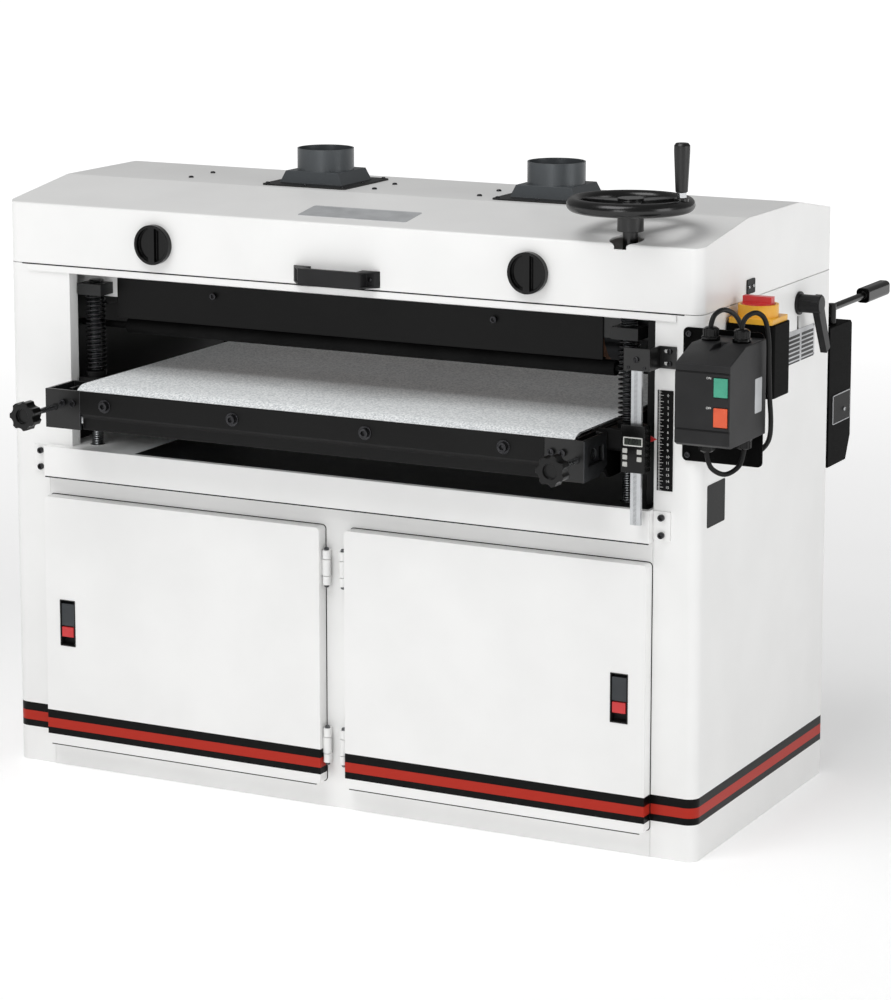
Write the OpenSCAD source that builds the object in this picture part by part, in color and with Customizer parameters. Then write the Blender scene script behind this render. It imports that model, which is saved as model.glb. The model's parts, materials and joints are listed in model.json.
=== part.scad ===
// Conveyor-fed dual-drum sander: cabinet, hood, drums and a feed table on four lift screws.
// Millimetres, +Z up, +Y to the rear. Origin on the floor, at the middle of the cabinet.

/* [Cabinet] */
// Width of the cabinet across its side panels
cab_w = 1320; // [1300:1:1380]
// Depth of the cabinet from front face to rear face
cab_d = 585; // [570:1:640]
// Height of the side panels, where the hood begins
cab_h = 904; // [900:1:940]
// Thickness of the cabinet sheet
sheet_t = 3; // [2:0.5:4]
// Radius of the upright corners
corner_r = 20; // [10:1:26]
// Width that the side panels turn in at the front and the rear
flange_w = 79; // [70:1:90]
// Height of the deck above the floor
deck_z = 584; // [570:1:590]
// Height of the face of the front crossbar
bar_h = 54; // [40:1:60]
// How far the front crossbar stands out
bar_out = 18; // [12:1:24]
// Width of the post beside the infeed opening, on the left
post_w = 48; // [30:1:50]
// Diameter of the anchor holes in the floor pan
anchor_d = 14; // [8:1:20]

/* [Doors] */
// Width of each door
door_w = 556; // [500:1:556]
// Height of each door
door_h = 450; // [400:1:470]
// Height of the lower edge of the doors
door_z = 45; // [30:1:60]
// Depth of the door pan
door_t = 24; // [20:1:28]
// Gap between the two doors
door_gap = 48; // [46:1:60]
// How much the door covers of the frame around its opening
door_lip = 14; // [8:1:20]
// Diameter of the door hinge pins
door_pin_d = 7; // [5:0.5:8]
// Height of each door hinge
hinge_h = 60; // [50:1:80]
// Width of the latch pocket
latch_w = 28; // [24:1:34]
// Height of the latch pocket
latch_h = 80; // [70:1:90]

/* [Hood] */
// Height of the hood's front wall
hood_front_h = 106; // [95:1:120]
// Rise of the hood's slope from the front edge to its flat top
hood_rise = 28; // [15:1:35]
// Length of each slope, front to rear
hood_run = 193; // [150:1:210]
// Gap between the hood and the cabinet
hood_gap = 1; // [0.5:0.1:2]
// Outer diameter of the dust collars
port_d = 100; // [80:1:110]
// Height of the round dust collars
port_h = 38; // [25:1:50]
// Distance between the two dust collars
port_pitch = 450; // [400:1:480]
// Distance of the dust collars' middle from the cabinet's middle
port_mid = 42; // [0:1:50]
// Side of the square dust flanges
port_flange = 166; // [150:1:180]
// Distance between the hood knobs
knob_pitch = 714; // [600:1:760]
// Diameter of the hood knobs
hood_knob_d = 69; // [60:1:80]
// Length of the pull handle
handle_l = 166; // [140:1:200]

/* [Drums] */
// Diameter of the sanding drums
drum_d = 152; // [140:1:156]
// Length of the sanding drums
drum_l = 940; // [900:1:950]
// Distance between the drum axes
drum_pitch = 230; // [220:1:240]
// Diameter of the drum shafts
drum_shaft_d = 30; // [25:1:35]
// Room between belt and drums with the table as shown
board_rest = 70; // [68:1:76]
// Diameter of the pressure rollers
press_d = 26; // [20:1:28]
// Diameter of the drum pulleys
drum_pulley_d = 140; // [120:1:150]
// Diameter of the motor pulley
motor_pulley_d = 120; // [100:1:130]
// Diameter of the motor body
motor_d = 190; // [150:1:210]

/* [Feed table] */
// Width of the conveyor belt
belt_w = 945; // [900:1:950]
// Thickness of the conveyor belt
belt_t = 3; // [2:0.5:4]
// Height of the belt above the deck with the table as shown
table_rest = 128; // [126:1:140]
// Diameter of the conveyor rollers
roller_d = 64; // [56:1:66]
// Reach of the belt past the front and rear of the cabinet
table_out = 95; // [85:1:110]
// Thickness of the table's side plates
side_t = 6; // [4:1:8]
// Sideways place of the table's middle
feed_x = 6; // [0:1:8]
// Diameter of the tension screws
tension_d = 10; // [8:1:14]

/* [Lift] */
// Diameter of the lift screws
screw_d = 20; // [16:1:22]
// Distance of the lift screws from the table's middle
screw_half = 512; // [510:1:516]
// Distance of the lift screws from the front or rear face
screw_in = 40; // [38:1:44]
// Diameter of the spring wire
wire_d = 3; // [2:0.5:3.5]
// Outer diameter of the springs
spring_d = 36; // [32:1:38]
// Number of curls in each spring
spring_curls = 17; // [12:1:20]
// Diameter of the handwheel
wheel_d = 208; // [180:1:220]
// Diameter of the handwheel's shaft
wheel_shaft_d = 25; // [22:1:28]
// Length of the crank grip
grip_l = 88; // [70:1:100]

/* [Switch gear] */
// Width of the switch box
switch_w = 92; // [85:1:100]
// Height of the switch box
switch_h = 152; // [140:1:160]
// Depth of the switch box
switch_d = 150; // [130:1:160]
// Width of the push buttons
button_w = 23; // [18:1:26]
// Height of the push buttons
button_h = 30; // [26:1:34]
// Width of the disconnect box
disc_w = 84; // [76:1:95]
// Height of the disconnect box
disc_h = 120; // [100:1:130]
// Diameter of the switch cables
cable_d = 8; // [7:0.5:10]

/* [Fits] */
// Gap between sheets that lie side by side
fit = 0.3; // [0.2:0.1:0.5]
// Clearance on the radius of a shaft in its bearing
run = 0.05; // [0.03:0.01:0.1]

/* [Hidden] */
$fn = 48;

// Colours
white = [0.93, 0.93, 0.92];
black = [0.07, 0.07, 0.07];
charcoal = [0.17, 0.17, 0.17];
steel = [0.72, 0.73, 0.74];
iron = [0.3, 0.31, 0.32];
belt_grey = [0.6, 0.62, 0.63];
abrasive = [0.45, 0.33, 0.24];
red = [0.78, 0.2, 0.18];
green = [0.24, 0.61, 0.48];
yellow = [0.92, 0.69, 0.19];

// Cabinet planes
front_y = -cab_d / 2;
rear_y = cab_d / 2;
side_x = cab_w / 2;
flange_x = side_x - flange_w;
inner_x = side_x - sheet_t - fit;

// Cabinet members
rail_h = 12;
rail_in = 42;
rail_web = 20;
post_return = 25;
bar_tab = 30;
bar_half = flange_x + 1;
anchor_x = 600;
anchor_y = 240;
beam_in = screw_in + 20;
beam_t = 6;
beam_z = deck_z + 262;
beam_h = 42;
cheek_x = flange_x - 21;
cheek_t = 6;
cheek_in = 20;
cheek_z = cab_h - 4;
guard_t = 3;
guard_half = 467;
guard_mid = feed_x - 10;
guard_bolt = 270;
guard_h = 70;
guard_z0 = deck_z + 226;
guard_lip = 12;

// Feed table heights and lengths
belt_z = deck_z + table_rest;
roller_z = belt_z - belt_t - roller_d / 2;
belt_ends = cab_d / 2 + table_out;
roller_y = belt_ends - belt_t - roller_d / 2;
roller_gap = 0.3;
plate_in = belt_w / 2 + 5.5;
plate_out = plate_in + side_t;
plate_top = belt_z - belt_t - roller_gap - 0.7;
plate_low = roller_z - roller_d / 2 - belt_t - 2;
beam_low = deck_z + 38;
roller_shaft_d = 20;

// Drums and their drive
drum_z = belt_z + board_rest + drum_d / 2;
drum_y = drum_pitch / 2;
press_z = drum_z - drum_d / 2 - 2 + press_d / 2;
press_y = drum_y + drum_d / 2 + press_d / 2 + 4;
press_shaft_d = 12;
pulley_in = cheek_x + cheek_t + 24;
pulley_w = 40;
motor_z = sheet_t + motor_d / 2 + 45;
motor_in = 520;
motor_l = 290;
motor_shaft_d = 28;
belt_gap = 0.4;
drive_t = 7;

// Lift
screw_y = cab_d / 2 - screw_in;
block_half = 24;
block_h = 20;
block_z = deck_z + 268;
nut_half = 22;
nut_h = 46;
nut_z = belt_z + 4 - nut_h;
sprocket_r = 24;
sprocket_t = 8;
chain_t = 7;
lower_h = 22;
lower_z = deck_z - sheet_t - lower_h;
sprocket_z = lower_z - 4 - sprocket_t;
dog_w = 8;
dog_h = 6;
coupler_r = 14;
coupler_z = block_z + block_h + 0.5;
coupler_h = 14;
spring_z = nut_z + nut_h + fit;
spring_l = block_z - fit - spring_z;

// Hood
hood_z = cab_h + hood_gap;
hood_edge_z = hood_z + hood_front_h;
hood_top_z = hood_edge_z + hood_rise;
hood_bend_r = 5;
hood_back_run = 165;
hood_pin_d = 8;
hood_pin_y = rear_y + 12;
hood_hinge_x = 400;
hood_hinge_l = 90;
shelf_z = hood_z + 36;
shelf_t = 8;
shelf_half = 36;
shelf_d = 76;
wheel_x = feed_x + screw_half;
wheel_y = -screw_y;
wheel_hole_d = 56;
wheel_hole_off = 14;
wheel_z = hood_edge_z + 60;
rim_d = 23;
hub_d = 43;
grip_x = wheel_d / 2 - rim_d / 2 - 4;
grip_pin_d = 10;
spoke_turn = -63;
knob_z = hood_z + 49;
knob_stem_d = 12;
port_base_h = 24;
port_wall = 3;

// Doors
door_left = -door_gap / 2 - door_w;
hinge_x = door_gap / 2 - 8;
hinge_r = 7;
hinge_y = front_y - door_t / 2;
door_front = front_y - fit - door_t;
hinge_low = door_z + 38;
hinge_high = door_z + door_h - 40 - hinge_h;
latch_z = door_z + door_h / 2 - 41;
latch_in = door_w - 46;
latch_depth = 13;
latch_button_z = latch_z + 24;
latch_wall = 2;

// Switch gear
plate_x = side_x - 29;
plate_w = 137;
plate_z = 670;
plate_h = 216;
switch_x = side_x + 21;
switch_z = plate_z + 56;
switch_back = front_y - sheet_t;
switch_front = switch_back - switch_d;
switch_button_x = switch_x + switch_w - 15;
start_z = switch_z + 96;
stop_z = switch_z + 49;
button_deep = 16;
gland_x = [switch_x + 19, switch_x + 71];
gland_y = switch_back - 52;
gland_r = 13;
gland_h = 22;
disc_y = front_y + 137;
disc_d = 76;
disc_z = 760;
disc_x = side_x + disc_w / 2;
lock_in = 161;
lock_y = rear_y - lock_in;
lock_z = cab_h - 38;
lock_stud_d = 12;
lock_tilt = 26;

// Readout and depth scale on the right-hand column
beam_x = flange_x - 14;
beam_w = 18;
beam_y = front_y - 35;
beam_thick = 6;
beam_top = block_z;
beam_bottom = deck_z - 20;
arm_y = front_y - 12;
arm_t = 6;
arm_low = roller_z + 5;
arm_high = roller_z + 35;
arm_end = flange_x - 4;
head_w = 41;
head_h = 77;
head_z = belt_z - 60;

function lerp(a, b, t) = a + (b - a) * t;
function unit(v) = v / norm(v);

// A box from its low corner to its high corner
module block(low, high) {
  translate(low)
    cube(high - low);
}

// A cylinder along X, from x0 to x1
module xrod(x0, x1, y, z, d) {
  translate([x0, y, z])
    rotate([0, 90, 0])
      cylinder(d = d, h = x1 - x0);
}

// A cylinder along Y, from y0 to y1
module yrod(y0, y1, x, z, d) {
  translate([x, y0, z])
    rotate([-90, 0, 0])
      cylinder(d = d, h = y1 - y0);
}

// A rectangle with round corners
module rrect(w, d, r) {
  square([w - 2 * r, d], center = true);
  square([w, d - 2 * r], center = true);
  for (x = [-1, 1], y = [-1, 1])
    translate([x * (w / 2 - r), y * (d / 2 - r)])
      circle(r);
}

// A strip with half-round ends
module stadium(l, h) {
  square([l - h, h], center = true);
  for (x = [-1, 1])
    translate([x * (l - h) / 2, 0])
      circle(d = h);
}

// An outline drawn as (y, z), swept along X
module along_x(x0, x1) {
  translate([x0, 0, 0])
    rotate([90, 0, 90])
      linear_extrude(x1 - x0)
        children();
}

// An outline drawn as (x, z), swept along Y
module along_y(y0, y1) {
  translate([0, y1, 0])
    rotate([90, 0, 0])
      linear_extrude(y1 - y0)
        children();
}

// A piece and its mirror image about the cabinet's middle
module both_sides() {
  children();
  mirror([1, 0, 0])
    children();
}

// A piece and its mirror image, front and rear
module both_ends() {
  children();
  mirror([0, 1, 0])
    children();
}

// A socket-head bolt lying on the plane y, head towards the front
module bolt_head(x, y, z, d, h) {
  difference() {
    yrod(y - h, y, x, z, d);
    translate([x, y - h - 1, z])
      rotate([-90, 0, 0])
        cylinder(d = d * 0.55, h = h * 0.6 + 1, $fn = 6);
  }
}

// Side panel: one folded sheet with a flange at the front and at the rear
module side_shell(side) {
  linear_extrude(cab_h)
    intersection() {
      difference() {
        rrect(cab_w, cab_d, corner_r);
        rrect(cab_w - 2 * sheet_t, cab_d - 2 * sheet_t, corner_r - sheet_t);
      }
      translate([side * (side_x - flange_w / 2), 0])
        square([flange_w, cab_d + 2], center = true);
    }
}

module left_side_panel() {
  post_top = cab_h - rail_h;
  post_edge = post_w - flange_x;
  color(white) {
    side_shell(-1);
    block([-flange_x, front_y, deck_z], [post_edge, front_y + sheet_t, post_top]);
    block([post_edge - sheet_t, front_y, deck_z], [post_edge, front_y + post_return, post_top]);
  }
}

module right_side_panel() {
  slot_w = 10;
  slot_h = 30;
  color(white)
    difference() {
      side_shell(1);
      xrod(side_x - 10, side_x + 1, lock_y, lock_z, lock_stud_d + 2 * run);
      block([side_x - 10, lock_y - slot_w / 2, lock_z - 22 - slot_h],
            [side_x + 1, lock_y + slot_w / 2, lock_z - 22]);
      xrod(side_x - 10, side_x + 1, cable_end.y, cable_end.z, cable_d + 2 * fit);
    }
}

// Floor pan, front frame with two door openings and rear wall, welded into one piece
module base_cabinet() {
  wall_top = deck_z - sheet_t;
  color(white)
    difference() {
      union() {
        linear_extrude(sheet_t)
          rrect(2 * inner_x, cab_d - 2 * sheet_t, corner_r);
        both_ends()
          block([fit - flange_x, front_y, 0], [flange_x - fit, front_y + sheet_t, wall_top]);
      }
      both_sides()
        block([door_left + door_lip, front_y - 1, door_z + door_lip],
              [-door_gap / 2 - door_lip, front_y + sheet_t + 1, door_z + door_h - door_lip]);
      for (x = [-1, 1], y = [-1, 1])
        translate([x * anchor_x, y * anchor_y, -1])
          cylinder(d = anchor_d, h = sheet_t + 2);
    }
}

module deck_outline() {
  translate([0, (rear_y + front_y - bar_out) / 2])
    square([2 * (flange_x - fit), cab_d + bar_out], center = true);
  rrect(2 * inner_x, cab_d - 2 * (sheet_t + fit), corner_r);
}

// Deck folded down at the front into the crossbar, with bolting tabs at its ends
module deck() {
  slot_y = drum_y + drum_pulley_d / 2 - 15;
  difference() {
    union() {
      translate([0, 0, deck_z - sheet_t])
        linear_extrude(sheet_t)
          deck_outline();
      block([-bar_half, front_y - bar_out, deck_z - bar_h],
            [bar_half, front_y - bar_out + sheet_t, deck_z]);
      both_sides() {
        block([bar_half - sheet_t, front_y - bar_out, deck_z - bar_h],
              [bar_half, front_y - sheet_t, deck_z]);
        block([bar_half - sheet_t, front_y - sheet_t, deck_z - bar_h + 4],
              [bar_half + bar_tab, front_y, deck_z - 2]);
      }
    }
    for (x = [-1, 1], y = [-1, 1])
      translate([feed_x + x * screw_half, y * screw_y, deck_z - sheet_t - 1])
        cylinder(d = screw_d + 6, h = sheet_t + 2);
    block([-pulley_in - pulley_w - 8, -slot_y, deck_z - sheet_t - 1],
          [8 - pulley_in, slot_y, deck_z + 1]);
  }
}

module top_rail() {
  block([rail_in - side_x, front_y - sheet_t, cab_h - rail_h],
        [side_x - rail_in, front_y, cab_h - hood_gap]);
  block([fit - flange_x, front_y, cab_h - rail_h / 2 - sheet_t],
        [flange_x - fit, front_y + rail_web, cab_h - rail_h / 2]);
}

module head_beam() {
  block([-cheek_x, front_y + beam_in, beam_z],
        [cheek_x, front_y + beam_in + beam_t, beam_z + beam_h]);
}

module cross_members() {
  color(white) {
    deck();
    both_ends() {
      top_rail();
      head_beam();
    }
  }
}

// Inner cheek: carries the drum bearings and the pressure rollers, with returns to the side panel
module cheek() {
  shaft_room = drum_shaft_d + 12;
  difference() {
    union() {
      block([cheek_x, front_y + cheek_in, deck_z], [cheek_x + cheek_t, rear_y - cheek_in, cheek_z]);
      both_ends()
        block([cheek_x, front_y + cheek_in, deck_z],
              [inner_x, front_y + cheek_in + cheek_t, cheek_z]);
    }
    for (y = [-drum_y, drum_y])
      xrod(cheek_x - 1, cheek_x + cheek_t + 1, y, drum_z, shaft_room);
    for (y = [-press_y, press_y])
      xrod(cheek_x - 1, cheek_x + cheek_t + 1, y, press_z, press_shaft_d + 2 * run);
  }
}

// Guard plate on the head beam, with a lip turned in along its lower edge
module guard() {
  face = front_y + beam_in - guard_t;
  low = guard_z0;
  left = guard_mid - guard_half;
  right = guard_mid + guard_half;
  block([left, face, low], [right, face + guard_t, low + guard_h]);
  block([left, face, low], [right, face + guard_lip, low + guard_t]);
}

module head_frame() {
  color(black) {
    both_sides()
      cheek();
    both_ends()
      guard();
  }
}

module drum_bearing() {
  flange = 84;
  flange_t = 14;
  hub_l = 9;
  difference() {
    union() {
      translate([cheek_x - flange_t, 0, drum_z])
        rotate([0, 90, 0])
          linear_extrude(flange_t)
            rrect(flange, flange, 12);
      xrod(cheek_x - flange_t - hub_l, cheek_x - flange_t + 1, 0, drum_z, drum_shaft_d + 32);
    }
    xrod(cheek_x - 40, cheek_x + 1, 0, drum_z, drum_shaft_d + 2 * run);
  }
}

module screw_block() {
  difference() {
    block([-block_half, front_y + cheek_in, block_z], [block_half, front_y + beam_in, block_z + block_h]);
    translate([0, -screw_y, block_z - 1])
      cylinder(d = screw_d + 2 * run, h = block_h + 2);
  }
}

module lower_bearing() {
  translate([0, -screw_y, lower_z])
    difference() {
      linear_extrude(lower_h)
        rrect(2 * block_half, 2 * block_half, 6);
      translate([0, 0, -1])
        cylinder(d = screw_d + 2 * run, h = lower_h + 2);
    }
}

module bearing_blocks() {
  color(iron) {
    both_sides()
      for (y = [-drum_y, drum_y])
        translate([0, y, 0])
          drum_bearing();
    for (x = [-screw_half, screw_half])
      translate([feed_x + x, 0, 0])
        both_ends() {
          screw_block();
          lower_bearing();
        }
  }
}

// Main motor: ribbed body, fan cowl, terminal box and two feet on the floor pan
module main_motor() {
  rib = 8;
  cowl_l = 60;
  ribs = 18;
  foot_w = 40;
  start = -motor_in;
  end = start + motor_l;
  color(charcoal)
    difference() {
      union() {
        xrod(start, end, 0, motor_z, motor_d - 2 * rib);
        xrod(start, start + 25, 0, motor_z, motor_d);
        xrod(end - cowl_l, end, 0, motor_z, motor_d);
        for (i = [0 : ribs - 1])
          translate([start, 0, motor_z])
            rotate([i * 360 / ribs, 0, 0])
              translate([0, -2, 0])
                cube([motor_l - cowl_l, 4, motor_d / 2 - 1]);
        for (x = [start + 30, end - cowl_l - foot_w])
          block([x, -motor_d / 2, sheet_t], [x + foot_w, motor_d / 2, motor_z - motor_d / 4]);
        block([start + 70, -45, motor_z], [start + 160, 45, motor_z + motor_d / 2 + 35]);
      }
      xrod(start - 1, start + 60, 0, motor_z, motor_shaft_d + 2 * run);
    }
}

// Outline round the motor pulley and both drum pulleys
module drive_outline(grow) {
  hull() {
    translate([0, motor_z])
      circle(d = motor_pulley_d + 2 * grow);
    for (y = [-drum_y, drum_y])
      translate([y, drum_z])
        circle(d = drum_pulley_d + 2 * grow);
  }
}

module drive_belt() {
  color(black)
    along_x(-pulley_in - pulley_w + 3, -pulley_in - 3)
      difference() {
        drive_outline(belt_gap + drive_t);
        drive_outline(belt_gap);
      }
}

// Roller chain round the four sprockets under the deck
module lift_chain() {
  inner_r = sprocket_r + belt_gap;
  outer_r = inner_r + chain_t;
  color(iron)
    translate([feed_x, 0, sprocket_z + 1])
      linear_extrude(sprocket_t - 2)
        difference() {
          rrect(2 * (screw_half + outer_r), 2 * (screw_y + outer_r), outer_r);
          rrect(2 * (screw_half + inner_r), 2 * (screw_y + inner_r), inner_r);
        }
}

module switch_plate() {
  color(black)
    translate([plate_x + plate_w / 2, 0, plate_z + plate_h / 2])
      along_y(front_y - sheet_t, front_y)
        rrect(plate_w, plate_h, 8);
}

module button_pocket(z) {
  block([switch_button_x - button_w / 2 - fit, switch_front - 1, z - button_h / 2 - fit],
        [switch_button_x + button_w / 2 + fit, switch_front + button_deep, z + button_h / 2 + fit]);
  yrod(switch_front, switch_front + 2 * button_deep, switch_button_x, z, 8 + 2 * run);
}

// Switch box: chamfered top and foot, with pockets for the two push buttons
module switch_box() {
  top = switch_z + switch_h;
  groove = 1.5;
  color(charcoal)
    difference() {
      along_x(switch_x, switch_x + switch_w)
        polygon([[switch_back, switch_z], [switch_back, top], [switch_back - 85, top],
                 [switch_front, top - 22], [switch_front, switch_z + 5], [switch_front + 9, switch_z]]);
      for (z = [switch_z + 26, switch_z + 117])
        block([switch_x - 1, switch_front - 1, z],
              [switch_x + switch_w + 1, switch_front + groove, z + groove]);
      translate([switch_x + switch_w / 2, 0, 0])
        block([-7, switch_front - 1, top - 8], [7, switch_back - 60, top + 1]);
      button_pocket(start_z);
      button_pocket(stop_z);
    }
}

// Points of a smooth curve through the points of a route, a few for each stretch
function curve_point(a, b, c, d, t) =
  0.5 * (2 * b + (c - a) * t + (2 * a - 5 * b + 4 * c - d) * t * t
         + (3 * b - a - 3 * c + d) * t * t * t);
function curve(route, steps) = [
  for (i = [0 : len(route) - 2], s = [0 : steps - 1])
    let (a = route[max(i - 1, 0)], d = route[min(i + 2, len(route) - 1)])
      curve_point(a, route[i], route[i + 1], d, s / steps),
  route[len(route) - 1]];
function heading(path, i) = unit(path[min(i + 1, len(path) - 1)] - path[max(i - 1, 0)]);
function ring(path, i, r, sides, side_axis) =
  let (t = heading(path, i), u = unit(cross(side_axis, t)), v = cross(t, u))
    [for (k = [0 : sides - 1]) path[i] + r * (cos(k * 360 / sides) * u + sin(k * 360 / sides) * v)];

// A round tube swept along a path, closed at both ends, in triangles
module tube(path, d, sides, side_axis) {
  n = len(path);
  points = [for (i = [0 : n - 1]) each ring(path, i, d / 2, sides, side_axis)];
  wall = [for (i = [0 : n - 2], k = [0 : sides - 1])
    let (a = i * sides + k, b = i * sides + (k + 1) % sides)
      each [[a, b + sides, b], [a, a + sides, b + sides]]];
  first = [for (k = [1 : sides - 2]) [0, k, k + 1]];
  last = [for (k = [1 : sides - 2]) [(n - 1) * sides, (n - 1) * sides + k + 1, (n - 1) * sides + k]];
  polyhedron(points, concat(first, wall, last));
}

// Routes of the three switch cables, from the switch box round to where they end
gland_top = switch_z + switch_h;
cable_end = [side_x - 6, front_y + 36, plate_z + 2];
supply_x = gland_x[0];
supply_end = [side_x + 52, disc_y - disc_d / 2 - fit, disc_z + 82];
supply_route = [[supply_x, gland_y, gland_top + 12], [supply_x, gland_y, gland_top + 30],
  [supply_x + 2, gland_y + 13, gland_top + 49], [supply_x + 5, front_y - 5, gland_top + 53],
  [supply_x + 8, front_y + 40, gland_top + 34], supply_end + [-1, -32, 26],
  supply_end + [0, -16, 1], supply_end - [0, 8, 0], supply_end];
loom_x = gland_x[1];
motor_route = [[loom_x, gland_y, gland_top + 12], [loom_x, gland_y, gland_top + 30],
  [loom_x + 5, gland_y + 10, gland_top + 52], [loom_x + 18, front_y - 20, gland_top + 62],
  [loom_x + 33, front_y + 5, gland_top + 48], [loom_x + 40, front_y + 15, gland_top + 12],
  [loom_x + 40, front_y + 18, gland_top - 38], [loom_x + 33, front_y + 18, switch_z + 54],
  [loom_x + 20, front_y + 18, switch_z - 6], [loom_x, front_y + 24, cable_end.z + 18],
  [loom_x - 30, front_y + 32, cable_end.z + 2], cable_end + [36, 0, 0], cable_end];
loop_near = [switch_x + 25, gland_y - 25, switch_z - 12];
loop_far = [switch_x + 69, gland_y + 19, switch_z - 12];
loop_mid = (loop_near + loop_far) / 2;
loop_route = [loop_near, loop_near - [0, 0, 15], loop_near + [6, 6, -37], loop_mid - [0, 0, 48],
  loop_far + [-6, -6, -37], loop_far - [0, 0, 15], loop_far];

module gland(x, y, z, up) {
  translate([x, y, z])
    rotate([up ? 0 : 180, 0, 0])
      difference() {
        union() {
          cylinder(r = gland_r + 2, h = 7, $fn = 6);
          cylinder(r = gland_r, h = gland_h - 4);
          translate([0, 0, gland_h - 4])
            cylinder(r1 = gland_r, r2 = cable_d / 2 + 3, h = 4);
        }
        translate([0, 0, gland_h - 12])
          cylinder(d = cable_d + 2 * fit, h = 20);
      }
}

module switch_cables() {
  color(black) {
    for (route = [supply_route, motor_route])
      gland(route[0].x, route[0].y, gland_top, true);
    for (end = [loop_route[0], loop_route[len(loop_route) - 1]])
      gland(end.x, end.y, switch_z, false);
    tube(curve(supply_route, 3), cable_d, 8, [1, 0, 0]);
    tube(curve(motor_route, 3), cable_d, 8, [0, 1, 0]);
    tube(curve(loop_route, 3), cable_d, 8, [1, -1, 0]);
  }
}

module disconnect_box() {
  color(black)
    translate([disc_x, disc_y, disc_z])
      difference() {
        linear_extrude(disc_h)
          rrect(disc_w, disc_d, 9);
        translate([0, 0, disc_h - 14])
          cylinder(d = 10 + 2 * run, h = 15);
      }
}

collar_h = 20;
module disconnect_flange() {
  color(yellow)
    translate([disc_x, disc_y, disc_z + disc_h])
      difference() {
        union() {
          linear_extrude(9)
            rrect(disc_d, disc_d - 2, 6);
          cylinder(d = 66, h = 9 + collar_h);
        }
        translate([0, 0, 9 + collar_h - 8])
          cylinder(d = 56, h = 9);
        translate([0, 0, -1])
          cylinder(d = 10 + 2 * run, h = 40);
      }
}

module disconnect_knob() {
  base = disc_z + disc_h + 9 + collar_h - 8 + fit;
  color(red)
    translate([disc_x, disc_y, base]) {
      cylinder(d = 54, h = 9);
      translate([-25, -7, 8])
        cube([50, 14, 12]);
      translate([0, 0, -25])
        cylinder(d = 10, h = 26);
    }
}

module depth_scale() {
  scale_w = 27;
  scale_h = 164;
  color(black)
    block([flange_x + 6, front_y - 2, deck_z + 32], [flange_x + 6 + scale_w, front_y, deck_z + 32 + scale_h]);
}

// Measuring beam in front of the right-hand column, held behind a folded and slotted bracket
module readout_beam() {
  bracket_low = beam_top - 36;
  bracket_in = beam_x - 21;
  bracket_edge = beam_x + 24;
  tab_t = 3;
  face = beam_y - beam_thick;
  color(steel) {
    block([beam_x - beam_w / 2, face, beam_bottom], [beam_x + beam_w / 2, beam_y, beam_top - 6]);
    difference() {
      union() {
        block([bracket_in, face - tab_t, bracket_low], [bracket_edge, face, beam_top]);
        block([bracket_edge - tab_t, face, bracket_low], [bracket_edge, front_y, beam_top]);
        block([bracket_edge, front_y - tab_t, bracket_low], [bracket_edge + 28, front_y, beam_top]);
      }
      for (z = [bracket_low + 8, beam_top - 8])
        translate([bracket_edge + 12, 0, z])
          along_y(front_y - 10, front_y + 1)
            stadium(12, 6);
    }
  }
}

// Door hinges: outer knuckles, leaves and pins that stay on the cabinet
module door_hinge_fixed(z) {
  knuckle = 15;
  for (low = [z, z + hinge_h - knuckle])
    translate([hinge_x, hinge_y, low])
      union() {
        cylinder(r = hinge_r, h = knuckle);
        translate([-3, 0, 0])
          cube([6, front_y - hinge_y, knuckle]);
      }
  translate([hinge_x, hinge_y, z])
    cylinder(d = door_pin_d, h = hinge_h);
}

// Middle knuckle and leaf that turn with the door
module door_knuckle(z) {
  knuckle = 15 + 1;
  difference() {
    union() {
      translate([hinge_x, hinge_y, z + knuckle])
        cylinder(r = hinge_r, h = hinge_h - 2 * knuckle);
      block([hinge_x, hinge_y - 2, z + knuckle], [door_gap / 2 + 1, hinge_y + 2, z + hinge_h - knuckle]);
    }
    translate([hinge_x, hinge_y, z])
      cylinder(d = door_pin_d + 2 * run, h = hinge_h);
  }
}

// Hood hinges: middle knuckle and pin on the rear top rail
module hood_hinge_fixed() {
  half = hood_hinge_l / 4;
  xrod(-half, half, hood_pin_y, cab_h, 16);
  xrod(-hood_hinge_l / 2, hood_hinge_l / 2, hood_pin_y, cab_h, hood_pin_d);
  block([-half, rear_y + sheet_t, cab_h - rail_h], [half, hood_pin_y, cab_h - 1]);
}

module hood_knuckles() {
  inner = hood_hinge_l / 4 + 1;
  both_sides()
    difference() {
      union() {
        xrod(inner, hood_hinge_l / 2, hood_pin_y, cab_h, 16);
        block([inner, rear_y - 1, hood_z + 1], [hood_hinge_l / 2, hood_pin_y, hood_z + 14]);
      }
      xrod(0, hood_hinge_l, hood_pin_y, cab_h, hood_pin_d + 2 * run);
    }
}

module hinges() {
  color(white) {
    both_sides()
      for (z = [hinge_low, hinge_high])
        door_hinge_fixed(z);
    for (x = [-hood_hinge_x, hood_hinge_x])
      translate([x, 0, 0])
        hood_hinge_fixed();
  }
}

module frame_bolts() {
  tab_bolt_x = bar_half + bar_tab / 2;
  tab_rows = [12, 41];
  color(black) {
    for (x = [-tab_bolt_x, tab_bolt_x], drop = tab_rows)
      bolt_head(x, front_y - sheet_t, deck_z - drop, 11, 6);
    both_ends()
      for (x = [-guard_bolt, guard_bolt])
        bolt_head(guard_mid + x, front_y + beam_in - guard_t, guard_z0 + guard_h - 18, 12, 6);
    for (z = [plate_z + 10, plate_z + plate_h - 10])
      bolt_head(plate_x + 10, front_y - sheet_t, z, 10, 4);
  }
}

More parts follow.
